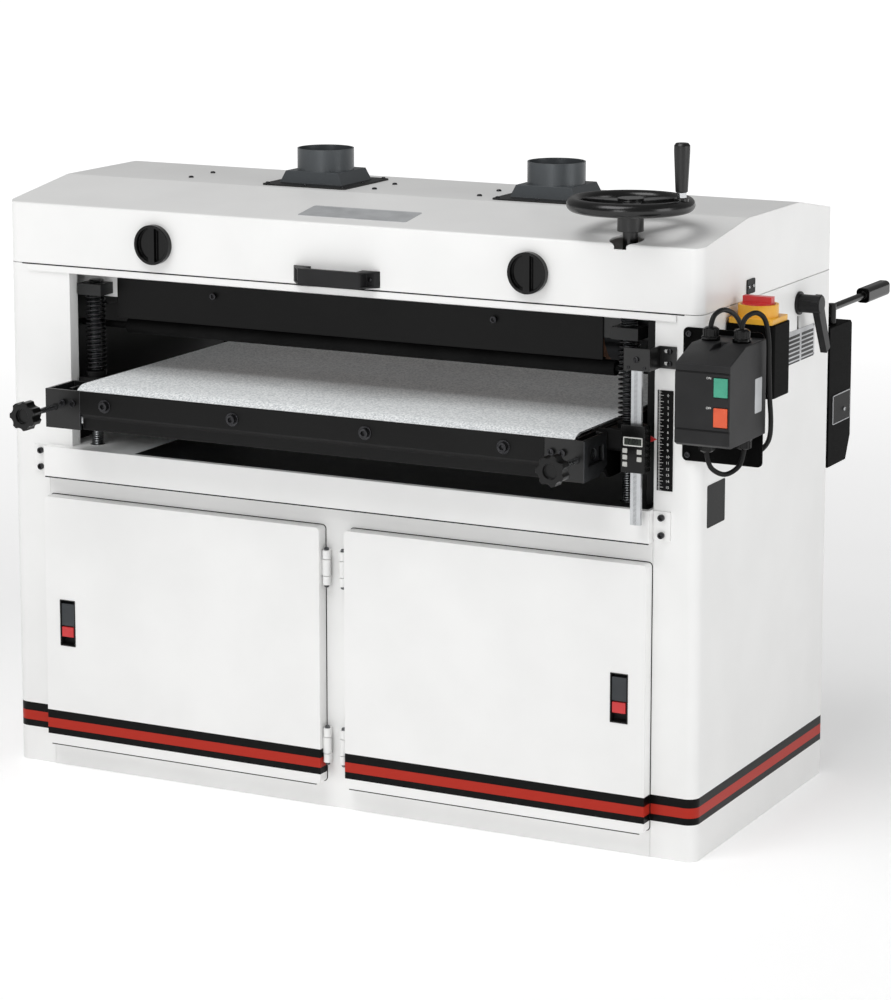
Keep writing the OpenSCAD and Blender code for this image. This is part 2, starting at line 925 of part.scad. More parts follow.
// Side plate of the table, with a slot for the idler shaft and a bore for the driven one
module table_side() {
  tension_slot = 44;
  foot = cab_d / 2 - 30;
  difference() {
    along_x(plate_in, plate_out)
      polygon([[-belt_ends + 6, plate_low], [-foot - 18, plate_low], [-foot, beam_low], [foot, beam_low],
               [foot + 18, plate_low], [belt_ends - 6, plate_low], [belt_ends - 6, plate_top],
               [-belt_ends + 6, plate_top]]);
    xrod(plate_in - 1, plate_out + 1, roller_y, roller_z, roller_shaft_d + 2 * run);
    for (y = [-tension_slot / 2, tension_slot / 2])
      xrod(plate_in - 1, plate_out + 1, y - roller_y, roller_z, roller_shaft_d + 2);
    block([plate_in - 1, -roller_y - tension_slot / 2, roller_z - roller_shaft_d / 2 - 1],
          [plate_out + 1, -roller_y + tension_slot / 2, roller_z + roller_shaft_d / 2 + 1]);
  }
}

// Bed plate on ribs between two side plates, cross beams below the belt, and the readout arm
module table_bed() {
  bed_t = 6;
  rib_t = 6;
  ribs = 9;
  bed_end = roller_y - roller_d / 2 - 10;
  bed_top = belt_z - belt_t - roller_gap;
  rib_low = roller_z - roller_d / 2 + 8;
  cross_w = 40;
  color(black)
    translate([feed_x, 0, 0]) {
      both_sides()
        table_side();
      block([-plate_in, -bed_end, bed_top - bed_t], [plate_in, bed_end, bed_top]);
      for (i = [0 : ribs - 1])
        translate([lerp(40 - plate_in, plate_in - 40, i / (ribs - 1)) - rib_t / 2, -bed_end, rib_low])
          cube([rib_t, 2 * bed_end, bed_top - bed_t - rib_low]);
      both_ends()
        block([-plate_in, -cab_d / 2 + 60, beam_low], [plate_in, -cab_d / 2 + 60 + cross_w, beam_low + 14]);
      block([plate_out, arm_y - arm_t, arm_low], [arm_end - feed_x, arm_y, arm_high]);
    }
}

module conveyor_belt() {
  color(belt_grey)
    along_x(feed_x - belt_w / 2, feed_x + belt_w / 2)
      translate([0, roller_z])
        difference() {
          stadium(2 * belt_ends, roller_d + 2 * belt_t);
          stadium(2 * (belt_ends - belt_t), roller_d);
        }
}

// Black front bar and the folded brackets at its ends; the left bracket stands further out
bar_face = -belt_ends - 15;
bar_t = 6;
bar_left = 450;
bar_right = 432;
left_screw = plate_out + 16;
right_screw = plate_out + tension_d / 2 + 1;
left_bracket = plate_out + 36;
right_bracket = right_screw + tension_d / 2 + 1 + bar_t;
bracket_back = front_y - 22;
module front_bar() {
  step = 9;
  band = 24;
  mid = plate_low + band;
  color(black)
    along_x(feed_x - bar_left, feed_x + bar_right)
      polygon([[bar_face, mid + step / 2], [bar_face + step, mid - step / 2], [bar_face + step, plate_low],
               [bar_face + step + bar_t, plate_low], [bar_face + step + bar_t, mid],
               [bar_face + bar_t, mid + step], [bar_face + bar_t, plate_top], [bar_face, plate_top]]);
}

module tension_bracket(bar_end, screw, out) {
  slot_y = [bar_face + 18, bracket_back - 14];
  slot_half = 13;
  block_half_y = 20;
  color(iron) {
    difference() {
      union() {
        block([bar_end, bar_face, plate_low], [out, bar_face + bar_t, plate_top]);
        along_x(out - bar_t, out)
          polygon([[bar_face, plate_low], [bracket_back - 30, plate_low], [bracket_back, plate_low + 14],
                   [bracket_back, plate_top], [bar_face, plate_top]]);
        block([plate_out, bracket_back - bar_t, plate_low + 14], [out, bracket_back, plate_top]);
      }
      yrod(bar_face - 1, bar_face + bar_t + 1, screw, roller_z, tension_d + 2 * run);
      block([out - bar_t - 1, slot_y[0], roller_z - slot_half],
            [out + 1, slot_y[1], roller_z + slot_half]);
    }
    difference() {
      block([plate_out + 0.5, -roller_y - block_half_y, roller_z - 17],
            [out - bar_t - 0.5, -roller_y + block_half_y, roller_z + 17]);
      xrod(plate_out, out, -roller_y, roller_z, roller_shaft_d + 2 * run);
    }
  }
}

module tension_brackets() {
  translate([feed_x, 0, 0]) {
    mirror([1, 0, 0])
      tension_bracket(bar_left, left_screw, left_bracket);
    tension_bracket(bar_right, right_screw, right_bracket);
  }
}

// Nut brackets on the table's sides, one on each lift screw
module lift_nuts() {
  color(black)
    translate([feed_x, 0, 0])
      both_sides()
        both_ends()
          difference() {
            union() {
              block([plate_out, -screw_y - nut_half, nut_z],
                    [screw_half + nut_half, -screw_y + nut_half, nut_z + nut_h - 10]);
              translate([screw_half, -screw_y, nut_z])
                cylinder(d = spring_d, h = nut_h);
            }
            translate([screw_half, -screw_y, nut_z - 1])
              cylinder(d = screw_d + 2 * run, h = nut_h + 2);
          }
}

// Feed drive at the rear right: gearbox guard round the driven shaft, motor below the table
guard_x = [feed_x + plate_out + 66, side_x - 10];
guard_y = [rear_y + 20, rear_y + 130];
guard_z = [roller_z - 132, roller_z + 118];
lever_x = guard_x[1] - 16;
lever_in = 48;
lever_y = guard_y[0] + lever_in;
lever_d = 16;
module feed_guard() {
  cut = 42;
  color(black)
    difference() {
      union() {
        along_x(guard_x[0], guard_x[1])
          polygon([[guard_y[0], guard_z[0]], [guard_y[1] - cut / 2, guard_z[0]],
                   [guard_y[1], guard_z[0] + cut], [guard_y[1], guard_z[1] - 6],
                   [guard_y[1] - 6, guard_z[1]], [guard_y[0], guard_z[1]]]);
        xrod(feed_x + plate_out, guard_x[0] + 1, roller_y, roller_z, 60);
      }
      xrod(feed_x + plate_out - 1, guard_x[0] + 30, roller_y, roller_z, roller_shaft_d + 2 * run);
      translate([lever_x, lever_y, guard_z[1] - 24])
        cylinder(d = lever_d + 2 * run, h = 25);
    }
}

module feed_motor() {
  feed_motor_d = 84;
  feed_motor_l = 200;
  y = guard_y[0] + 60;
  z = guard_z[0] + 46;
  color(charcoal) {
    xrod(guard_x[0] - feed_motor_l, guard_x[0], y, z, feed_motor_d - 10);
    xrod(guard_x[0] - 20, guard_x[0], y, z, feed_motor_d);
    xrod(guard_x[0] - feed_motor_l, guard_x[0] - feed_motor_l + 45, y, z, feed_motor_d);
    block([guard_x[0] - 130, y - 24, z], [guard_x[0] - 70, y + 24, z + feed_motor_d / 2 + 4]);
  }
}

// Feed lever: a post in the guard's top, a bar to the rear and a moulded grip
module feed_lever() {
  rise = 28;
  bar_z = guard_z[1] + rise;
  reach = 265;
  grip = 108;
  color(black) {
    translate([lever_x, lever_y, guard_z[1] - 22])
      cylinder(d = lever_d, h = bar_z - guard_z[1] + 30);
    yrod(lever_y, lever_y + reach - grip + 2, lever_x, bar_z, 13);
    translate([lever_x, 0, bar_z])
      along_y(lever_y + reach - grip, lever_y + reach)
        rrect(25, 27, 8);
  }
}

// Readout head that slides on the beam and is carried by the table's arm
module readout_head() {
  slot = 0.5;
  case_back = beam_y + 6;
  neck_half = 10;
  window_half = 17;
  face = beam_y - beam_thick - 13;
  color(black)
    difference() {
      union() {
        block([beam_x - head_w / 2, face, head_z], [beam_x + head_w / 2, case_back, head_z + head_h]);
        block([beam_x - neck_half, case_back, arm_low], [beam_x + neck_half, arm_y - arm_t, arm_high]);
      }
      block([beam_x - beam_w / 2 - slot, beam_y - beam_thick - slot, head_z - 1],
            [beam_x + beam_w / 2 + slot, beam_y + slot, head_z + head_h + 1]);
      block([beam_x - window_half, face - 1, head_z + 43], [beam_x + window_half, face + 1.5, head_z + 58]);
    }
}

module depth_pointer() {
  pointer_z = belt_z - 10;
  reach = 16;
  color(red)
    along_y(arm_y - arm_t, arm_y - arm_t + 4)
      polygon([[arm_end, pointer_z - 7], [arm_end + reach, pointer_z], [arm_end, pointer_z + 7]]);
}

module table_bolts() {
  bolt_z = lerp(plate_low, plate_top, 0.68);
  bolt_mid = -20;
  bolt_pitch = 253;
  bracket_first = 13;
  bracket_step = 20;
  color(steel)
    translate([feed_x, 0, 0]) {
      for (i = [-1.5 : 1 : 1.5])
        bolt_head(bolt_mid + i * bolt_pitch, bar_face, bolt_z, 16, 8);
      for (i = [0, 1], x = [-bar_left - bracket_first - i * bracket_step,
                            bar_right + bracket_first + i * bracket_step])
        bolt_head(x, bar_face, bolt_z, 12, 6);
    }
}

module roller(y, left, right) {
  face = belt_w / 2 + 1;
  color(steel)
    translate([feed_x, 0, 0]) {
      xrod(-face, face, y, roller_z, roller_d - 2 * roller_gap);
      xrod(left, right, y, roller_z, roller_shaft_d);
    }
}

module idler_roller() {
  short = bar_t + 2;
  roller(-roller_y, short - left_bracket, right_bracket - short);
}

module drive_roller() {
  roller(roller_y, -plate_out - 12, guard_x[0] - feed_x + 28);
}

// Tension knob: lobed grip and a screw through the bracket up to the roller block
module tension_knob(x) {
  knob_d = 50;
  knob_l = 24;
  lobes = 7;
  tip = -roller_y - 20 - 0.4;
  face = bar_face - 78;
  color(black)
    translate([feed_x + x, 0, roller_z]) {
      yrod(face, tip, 0, 0, tension_d);
      difference() {
        yrod(face - knob_l, face, 0, 0, knob_d);
        for (i = [0 : lobes - 1])
          rotate([0, i * 360 / lobes, 0])
            yrod(face - knob_l - 1, face + 1, knob_d * 0.62, 0, knob_d * 0.4);
        yrod(face - knob_l - 1, face - knob_l + 6, 0, 0, knob_d * 0.5);
      }
      yrod(face, face + 16, 0, 0, 26);
    }
}

module left_tension_knob() {
  tension_knob(-left_screw);
}

module right_tension_knob() {
  tension_knob(right_screw);
}

// Sanding drum: a tube on two end discs, its shaft and the pulley on the left
module drum(y) {
  wall = 10;
  disc = 16;
  left_end = -pulley_in - pulley_w;
  half = drum_l / 2;
  color(abrasive) {
    translate([feed_x - half, y, drum_z])
      rotate([0, 90, 0])
        rotate_extrude()
          difference() {
            square([drum_d / 2, drum_l]);
            translate([-1, disc])
              square([drum_d / 2 - wall + 1, drum_l - 2 * disc]);
          }
    xrod(left_end, cheek_x - 1, y, drum_z, drum_shaft_d);
    xrod(left_end, -pulley_in, y, drum_z, drum_pulley_d);
  }
}

module front_drum() {
  drum(-drum_y);
}

module rear_drum() {
  drum(drum_y);
}

module motor_pulley() {
  left_end = -pulley_in - pulley_w;
  color(iron) {
    xrod(left_end, -pulley_in, 0, motor_z, motor_pulley_d);
    xrod(left_end, 58 - motor_in, 0, motor_z, motor_shaft_d);
  }
}

module pressure_roller(y) {
  half = guard_half + 3;
  color(iron) {
    xrod(feed_x - half, feed_x + half, y, press_z, press_d);
    xrod(-cheek_x - cheek_t, cheek_x + cheek_t, y, press_z, press_shaft_d);
  }
}

module infeed_pressure_roller() {
  pressure_roller(-press_y);
}

module outfeed_pressure_roller() {
  pressure_roller(press_y);
}

// Lift screw with its chain sprocket below the deck
module lift_screw(x, y, top) {
  color(steel)
    translate([feed_x + x * screw_half, y * screw_y, 0]) {
      translate([0, 0, sprocket_z - 4])
        cylinder(d = screw_d, h = top - sprocket_z + 4);
      translate([0, 0, sprocket_z])
        cylinder(r = sprocket_r, h = sprocket_t);
    }
}

screw_top = block_z + block_h + 6;
module lift_screw_front_left() {
  lift_screw(-1, -1, screw_top);
}

// The driven screw ends in a slotted coupler that takes the handwheel's tongue
module lift_screw_front_right() {
  difference() {
    union() {
      lift_screw(1, -1, coupler_z + 1);
      translate([wheel_x, wheel_y, coupler_z])
        color(steel)
          cylinder(r = coupler_r, h = coupler_h);
    }
    translate([wheel_x, wheel_y, coupler_z + coupler_h - dog_h / 2 + 0.5])
      cube([3 * coupler_r, dog_w + 1, dog_h + 1], center = true);
  }
}

module lift_screw_rear_left() {
  lift_screw(-1, 1, screw_top);
}

module lift_screw_rear_right() {
  lift_screw(1, 1, screw_top);
}

// Coil spring round a lift screw, from the nut bracket to the upper bearing
spring_r = (spring_d - wire_d) / 2;
rings_per_curl = 8;
function helix(n) = [for (i = [0 : n])
  let (a = i * 360 / rings_per_curl)
    [spring_r * cos(a), spring_r * sin(a),
     lerp(spring_z + wire_d, spring_z + spring_l - wire_d, i / n)]];
function spring_path() =
  let (coil = helix(spring_curls * rings_per_curl), n = len(coil) - 1)
    concat([[coil[0].x, coil[0].y, spring_z]], coil,
           [[coil[n].x, coil[n].y, spring_z + spring_l]]);
function least_gap(path) = min([for (i = [1 : len(path) - 7], j = [i + 5 : len(path) - 2])
  norm(path[i] - path[j])]) - wire_d;
echo(least_gap_between_spring_curls = least_gap(spring_path()));

module lift_springs() {
  color(black)
    for (x = [-1, 1], y = [-1, 1])
      translate([feed_x + x * screw_half, y * screw_y, 0])
        tube(spring_path(), wire_d, 6, [0.02, 0.03, 1]);
}

// Hood: folded shell with sloped front and rear, a shelf for the handwheel and two hinge knuckles
module hood_outline(inset) {
  y = cab_d / 2 - inset;
  edge = hood_edge_z - inset;
  top = hood_top_z - inset;
  r = max(hood_bend_r - inset, 1);
  function half(run) =
    let (bend = atan2(hood_rise, run),
         center = [y - r, edge - r * tan((90 - bend) / 2)],
         arc = [for (i = [0 : 4]) let (a = i / 4 * (90 - bend)) center + r * [cos(a), sin(a)]])
      concat([[y, hood_z - inset]], arc, [[cab_d / 2 - run, top]]);
  front = half(hood_run);
  mirrored = [for (i = [len(front) - 1 : -1 : 0]) [-front[i].x, front[i].y]];
  polygon(concat(half(hood_back_run), mirrored));
}

module hood_body(inset) {
  intersection() {
    along_x(-side_x + inset, side_x - inset)
      hood_outline(inset);
    translate([0, 0, hood_z - inset])
      linear_extrude(hood_front_h + hood_rise + 2 * sheet_t)
        rrect(cab_w - 2 * inset, cab_d - 2 * inset, corner_r - inset);
  }
}

module hood() {
  color(white)
    difference() {
      union() {
        difference() {
          hood_body(0);
          hood_body(sheet_t);
          for (x = [-1, 1])
            translate([port_mid + x * port_pitch / 2, 0, hood_top_z - 20])
              cylinder(d = port_d - 2 * port_wall, h = 30);
          translate([wheel_x, wheel_y - wheel_hole_off, hood_edge_z - 9])
            cylinder(d = wheel_hole_d, h = 60);
        }
        block([wheel_x - shelf_half, front_y + sheet_t - 1, shelf_z],
              [wheel_x + shelf_half, front_y + shelf_d, shelf_z + shelf_t]);
        for (x = [-hood_hinge_x, hood_hinge_x])
          translate([x, 0, 0])
            hood_knuckles();
      }
      translate([wheel_x, wheel_y, shelf_z - 1])
        cylinder(d = wheel_shaft_d + 2 * run, h = shelf_t + 2);
      for (x = [-knob_pitch / 2, knob_pitch / 2])
        yrod(front_y - 1, front_y + sheet_t + 1, x, knob_z, knob_stem_d + 2 * run);
    }
}

// Dust port: flat flange, tapered foot and round collar, open right through
module dust_port() {
  foot = [port_d + 24, port_d + 10];
  shoulder = [port_d + 4, port_d + 2];
  difference() {
    union() {
      linear_extrude(3)
        rrect(port_flange, port_flange, 6);
      translate([0, 0, 3])
        linear_extrude(port_base_h - 3, scale = [shoulder.x / foot.x, shoulder.y / foot.y])
          square(foot, center = true);
      cylinder(d = port_d, h = port_base_h + port_h);
    }
    translate([0, 0, -1])
      cylinder(d = port_d - 2 * port_wall, h = port_base_h + port_h + 2);
  }
}

module dust_ports() {
  color(black)
    for (x = [-1, 1])
      translate([port_mid + x * port_pitch / 2, 0, hood_top_z])
        dust_port();
}

// Pull handle: a bar with splayed ends, a screw pocket in each end and a finger gap behind it
module hood_handle() {
  splay = 26;
  pad = 34;
  reach = 32;
  bar = 9;
  rim = 3;
  foot = 8;
  low = hood_z + 4;
  high = hood_z + 32;
  half = handle_l / 2;
  front = front_y - reach;
  color(charcoal)
    difference() {
      translate([0, 0, low])
        linear_extrude(high - low)
          polygon([[-half, front_y], [splay - half, front], [half - splay, front], [half, front_y]]);
      block([pad - half, front + bar, low - 1], [half - pad, front_y + 1, high + 1]);
      both_sides()
        block([half - splay + rim, front - 1, low + rim], [half - rim - 3, front_y - foot, high - rim]);
    }
}

// Hood knob: dished disc with a grip bar, a stem through the wall and a cam tongue behind it
module hood_knob(x) {
  dish = 12;
  lip = 5;
  tongue = 34;
  face = front_y - fit;
  color(black)
    translate([x, 0, knob_z]) {
      difference() {
        yrod(face - dish, face, 0, 0, hood_knob_d);
        yrod(face - dish - 1, face - 4, 0, 0, hood_knob_d - 2 * lip);
      }
      block([-6, face - dish, -hood_knob_d / 2 + 2], [6, face - 2, hood_knob_d / 2 - 2]);
      yrod(face - 4, front_y + sheet_t + 8, 0, 0, knob_stem_d);
      block([-8, front_y + sheet_t + 3, -tongue], [8, front_y + sheet_t + 8, 8]);
    }
}

module left_hood_knob() {
  hood_knob(-knob_pitch / 2);
}

module right_hood_knob() {
  hood_knob(knob_pitch / 2);
}

// Handwheel: round rim on three flat spokes, hub, crank pin, and a shaft with a tongue at its end
module handwheel() {
  rim_r = (wheel_d - rim_d) / 2;
  spoke_t = 12;
  hub_low = 44;
  shaft_low = coupler_z + coupler_h + 1;
  color(black)
    translate([wheel_x, wheel_y, 0]) {
      translate([0, 0, wheel_z])
        rotate_extrude()
          translate([rim_r, 0])
            circle(d = rim_d);
      for (a = [0, 120, 240])
        rotate([0, 0, a + spoke_turn])
          translate([0, 0, wheel_z - spoke_t / 2])
            linear_extrude(spoke_t)
              polygon([[0, -17], [rim_r, -11], [rim_r, 11], [0, 17]]);
      translate([grip_x, 0, wheel_z])
        cylinder(d = rim_d, h = rim_d / 2 + 3);
      translate([grip_x, 0, wheel_z])
        cylinder(d = grip_pin_d, h = grip_l);
      translate([0, 0, wheel_z - hub_low])
        cylinder(d = hub_d, h = hub_low + 10);
      translate([0, 0, shaft_low])
        cylinder(d = wheel_shaft_d, h = wheel_z - shaft_low);
      translate([0, 0, shaft_low - dog_h / 2 + 1])
        cube([wheel_shaft_d - 6, dog_w, dog_h], center = true);
    }
}

// Crank grip: slim ferrule below, swelling towards its rounded end, free to turn on its pin
module handwheel_grip() {
  low = wheel_z + rim_d / 2 + 3 + fit;
  color(black)
    translate([wheel_x + grip_x, wheel_y, low])
      rotate_extrude()
        difference() {
          union() {
            polygon([[0, 0], [8, 0], [8, 9], [10, 10], [13, grip_l - 14], [13, grip_l - 4],
                     [10, grip_l], [0, grip_l]]);
          }
          translate([-1, -1])
            square([grip_pin_d / 2 + run + 1, grip_l - rim_d / 2 - 2]);
        }
}

// Right-hand door pan with its latch pocket and hinge knuckles; the left one is its mirror image
module door() {
  wall = 2;
  latch_x = door_gap / 2 + latch_in;
  color(white)
    difference() {
      union() {
        difference() {
          translate([door_gap / 2 + door_w / 2, 0, door_z + door_h / 2])
            along_y(door_front, front_y - fit)
              rrect(door_w, door_h, 7);
          translate([door_gap / 2 + door_w / 2, 0, door_z + door_h / 2])
            along_y(door_front + wall, front_y)
              rrect(door_w - 2 * wall, door_h - 2 * wall, 5);
        }
        block([latch_x - latch_w / 2 - latch_wall, door_front, latch_z - latch_wall],
              [latch_x + latch_w / 2 + latch_wall, door_front + latch_depth + latch_wall,
               latch_z + latch_h + latch_wall]);
        for (z = [hinge_low, hinge_high])
          door_knuckle(z);
      }
      block([latch_x - latch_w / 2, door_front - 1, latch_z],
            [latch_x + latch_w / 2, door_front + latch_depth, latch_z + latch_h]);
      xrod(latch_x - latch_w / 2 - latch_wall - 1, latch_x + latch_w / 2 + latch_wall + 1,
           door_front + 7, latch_z + latch_h - 8, 4 + 2 * run);
      yrod(door_front, door_front + latch_depth + latch_wall + 1, latch_x, latch_button_z, 8 + 2 * run);
    }
}

module left_door() {
  mirror([1, 0, 0])
    door();
}

module right_door() {
  door();
}

// Latch lever on its cross pin, flush with the door
module latch_lever(x) {
  half = latch_w / 2 - 1;
  color(charcoal) {
    block([x - half, door_front + 0.5, latch_button_z + 11], [x + half, door_front + 10, latch_z + latch_h - 5]);
    xrod(x - half - 2, x + half + 2, door_front + 7, latch_z + latch_h - 8, 4);
  }
}

module left_latch_lever() {
  latch_lever(-door_gap / 2 - latch_in);
}

module right_latch_lever() {
  latch_lever(door_gap / 2 + latch_in);
}

module latch_button(x) {
  half = latch_w / 2 - 2;
  color(red) {
    block([x - half, door_front - 1, latch_button_z - 9], [x + half, door_front + 8, latch_button_z + 9]);
    yrod(door_front + 7, door_front + latch_depth + latch_wall, x, latch_button_z, 8);
  }
}

module left_latch_button() {
  latch_button(-door_gap / 2 - latch_in);
}

module right_latch_button() {
  latch_button(door_gap / 2 + latch_in);
}

// Push button in its pocket, with a round stem behind it
module push_button(z) {
  proud = 1.5;
  block([switch_button_x - button_w / 2, switch_front - proud, z - button_h / 2],
        [switch_button_x + button_w / 2, switch_front + button_deep - 5, z + button_h / 2]);
  yrod(switch_front + 5, switch_front + 2 * button_deep - 5, switch_button_x, z, 8);
}

module start_button() {
  color(green)
    push_button(start_z);
}

module stop_button() {
  color(red)
    push_button(stop_z);
}

// Lock lever on the right side: flange, hub, hanging arm and a stud through the panel
module lock_lever() {
  arm = 94;
  out = side_x + fit;
  color(charcoal) {
    xrod(out, out + 4, lock_y, lock_z, 40);
    xrod(out, out + 42, lock_y, lock_z, 31);
    xrod(side_x - 20, out + 1, lock_y, lock_z, lock_stud_d);
    translate([out + 28, lock_y, lock_z])
      rotate([lock_tilt, 0, 0])
        rotate([0, 90, 0])
          linear_extrude(12)
            polygon([[-12, -13], [12, -13], [arm, -9], [arm, 9], [12, 13], [-12, 13]]);
  }
}

left_side_panel();
right_side_panel();
base_cabinet();
cross_members();
head_frame();
bearing_blocks();
main_motor();
drive_belt();
lift_chain();
switch_plate();
switch_box();
switch_cables();
disconnect_box();
disconnect_flange();
depth_scale();
readout_beam();
hinges();
frame_bolts();
table_bed();
conveyor_belt();
front_bar();
tension_brackets();
lift_nuts();
feed_motor();
feed_guard();
readout_head();
depth_pointer();
table_bolts();
idler_roller();
drive_roller();
left_tension_knob();
right_tension_knob();
feed_lever();
front_drum();
rear_drum();
motor_pulley();
infeed_pressure_roller();
outfeed_pressure_roller();
lift_screw_front_left();
lift_screw_front_right();
lift_screw_rear_left();
lift_screw_rear_right();
lift_springs();
hood();
dust_ports();
hood_handle();
left_hood_knob();
right_hood_knob();
handwheel();
handwheel_grip();
left_door();
right_door();
left_latch_lever();
right_latch_lever();
left_latch_button();
right_latch_button();
start_button();
stop_button();
disconnect_knob();
lock_lever();
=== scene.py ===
import json
import math
import bpy
from mathutils import Matrix, Vector


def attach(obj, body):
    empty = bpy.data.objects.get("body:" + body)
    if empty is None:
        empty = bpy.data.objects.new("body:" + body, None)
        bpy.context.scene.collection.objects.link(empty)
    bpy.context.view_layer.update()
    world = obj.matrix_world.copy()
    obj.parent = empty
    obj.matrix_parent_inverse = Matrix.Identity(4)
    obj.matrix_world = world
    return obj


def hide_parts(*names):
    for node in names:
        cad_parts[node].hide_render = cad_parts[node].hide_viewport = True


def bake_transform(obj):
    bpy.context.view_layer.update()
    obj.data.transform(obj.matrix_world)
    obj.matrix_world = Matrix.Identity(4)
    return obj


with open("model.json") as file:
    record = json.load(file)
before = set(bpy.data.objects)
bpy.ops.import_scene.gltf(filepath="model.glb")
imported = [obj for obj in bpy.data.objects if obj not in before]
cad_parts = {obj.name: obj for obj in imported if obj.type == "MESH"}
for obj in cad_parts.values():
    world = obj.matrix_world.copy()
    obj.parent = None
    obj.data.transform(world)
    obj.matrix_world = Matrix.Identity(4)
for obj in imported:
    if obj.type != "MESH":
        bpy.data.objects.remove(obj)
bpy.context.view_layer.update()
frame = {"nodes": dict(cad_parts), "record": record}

# Camera
# It stands to the front right, a little above the hood, with a long lens that is shifted down
# a little, as a view camera's is, so that the cabinet's uprights stay almost upright.
mm = 0.001
camera_place = (2.7131, -5.1813, 1.7664)
camera_dip, camera_turn = 9.83, 27.165
bpy.ops.object.select_all(action="DESELECT")
bpy.ops.object.camera_add(location=camera_place, rotation=(
    math.radians(90 - camera_dip), 0, math.radians(camera_turn)))
camera = bpy.context.object
camera.name = "camera"
camera.data.sensor_width = 36
camera.data.lens = 121.7
camera.data.shift_y = -0.15
bpy.context.scene.camera = camera


# Floor and light
# A pale studio floor that glows a little, as a lit table top does, under a white sky, with one
# soft box high in front, one beside the camera and one at the right.
def linear(code):
    parts = [int(code[i:i + 2], 16) / 255 for i in (1, 3, 5)]
    return (*[p / 12.92 if p <= 0.04045 else ((p + 0.055) / 1.055) ** 2.4 for p in parts], 1)


# A node with its settings. Each input is a value, a socket, or a node whose first output it takes.
def add(material, kind, inputs={}, **settings):
    tree = material.node_tree
    node = tree.nodes.new("ShaderNode" + kind)
    for name, value in settings.items():
        setattr(node, name, value)
    for name, value in inputs.items():
        if isinstance(value, bpy.types.Node):
            value = value.outputs[0]
        if isinstance(value, bpy.types.NodeSocket):
            tree.links.new(value, node.inputs[name])
        else:
            node.inputs[name].default_value = value
    return node


# A finish whose colour drifts between two close shades over patches, above a fine grain that
# gives its relief and its gloss. Grain, depth, patch and edge are in millimetres.
def surface(name, low, high, roughness, grain, depth, patch=160, edge=0, metallic=0, specular=0.5):
    material = bpy.data.materials.new(name)
    material.use_nodes = True
    tree = material.node_tree
    shader = tree.nodes["Principled BSDF"]
    place = add(material, "TexCoord").outputs["Object"]
    cloud = add(material, "TexNoise", {"Vector": place, "Scale": 1000 / patch, "Detail": 3})
    shade = add(material, "ValToRGB", {"Fac": cloud.outputs["Fac"]}, name="shade")
    for stop, position, colour in zip(shade.color_ramp.elements, (0.35, 0.65), (low, high)):
        stop.position = position
        stop.color = linear(colour)
    fine = add(material, "TexNoise", {"Vector": place, "Scale": 1000 / grain, "Detail": 2})
    gloss = add(material, "MapRange", {
        "Value": fine.outputs["Fac"], "From Min": 0.3, "From Max": 0.7,
        "To Min": roughness * 0.88, "To Max": roughness * 1.12}, name="gloss")
    relief = add(material, "Bump", {"Height": fine.outputs["Fac"], "Distance": depth * mm},
                 name="relief")
    if edge:
        soft = add(material, "Bevel", {"Radius": edge * mm}, samples=6)
        tree.links.new(soft.outputs["Normal"], relief.inputs["Normal"])
    for socket, node in (("Base Color", shade), ("Roughness", gloss), ("Normal", relief)):
        tree.links.new(node.outputs[0], shader.inputs[socket])
    shader.inputs["Metallic"].default_value = metallic
    shader.inputs["Specular IOR Level"].default_value = specular
    return material


# Floor paint: matt, almost white, with the faint clouding of a rolled coat.
floor_paint = surface("floor_paint", "#f3f3f3", "#f6f6f6", roughness=0.7, grain=3, depth=0.05,
                      patch=900)
# The glow rises with the distance from the machine, in metres, like a lit cove behind it.
place = add(floor_paint, "TexCoord")
away = add(floor_paint, "VectorMath", {0: place.outputs["Object"]}, operation="LENGTH")
glow = add(floor_paint, "MapRange", {"Value": away.outputs["Value"], "From Min": 1.5,
                                     "From Max": 6, "To Min": 0.3, "To Max": 0.85})
floor_shader = floor_paint.node_tree.nodes["Principled BSDF"]
floor_shader.inputs["Emission Color"].default_value = linear("#ffffff")
floor_paint.node_tree.links.new(glow.outputs["Result"], floor_shader.inputs["Emission Strength"])
bpy.ops.object.select_all(action="DESELECT")
bpy.ops.mesh.primitive_plane_add(size=90)
floor = bpy.context.object
floor.name = "floor"
floor.data.materials.append(floor_paint)

sky = bpy.data.worlds.new("white_sky")
sky.use_nodes = True
sky.node_tree.nodes["Background"].inputs["Color"].default_value = linear("#ffffff")
sky.node_tree.nodes["Background"].inputs["Strength"].default_value = 0.26
bpy.context.scene.world = sky
for name, place, aim, size, power in (
        ("key_light", (-0.6, -2.9, 5.4), (0, -0.2, 0.7), 3.4, 158),
        ("front_light", (0.9, -6.4, 2.05), (0, -0.2, 0.7), 1.8, 52),
        ("side_light", (6.2, -0.6, 2.2), (0.4, 0, 0.6), 3.0, 86)):
    bpy.ops.object.light_add(type="AREA", location=place)
    lamp = bpy.context.object
    lamp.name = name
    lamp.data.size = size
    lamp.data.energy = power
    lamp.rotation_euler = (Vector(aim) - Vector(place)).to_track_quat("-Z", "Y").to_euler()
# A weak overhead fill that reaches the belt alone, as a white card held in the opening would.
bpy.ops.object.light_add(type="AREA", location=(0, -0.05, 1.5))
card = bpy.context.object
card.name = "belt_card"
card.data.size = 1.1
card.data.energy = 3.0
belt_alone = bpy.data.collections.new("belt_alone")
belt_alone.objects.link(bpy.data.objects["conveyor_belt"])
card.light_linking.receiver_collection = belt_alone
card.light_linking.blocker_collection = belt_alone
bpy.context.scene.view_settings.view_transform = "Standard"

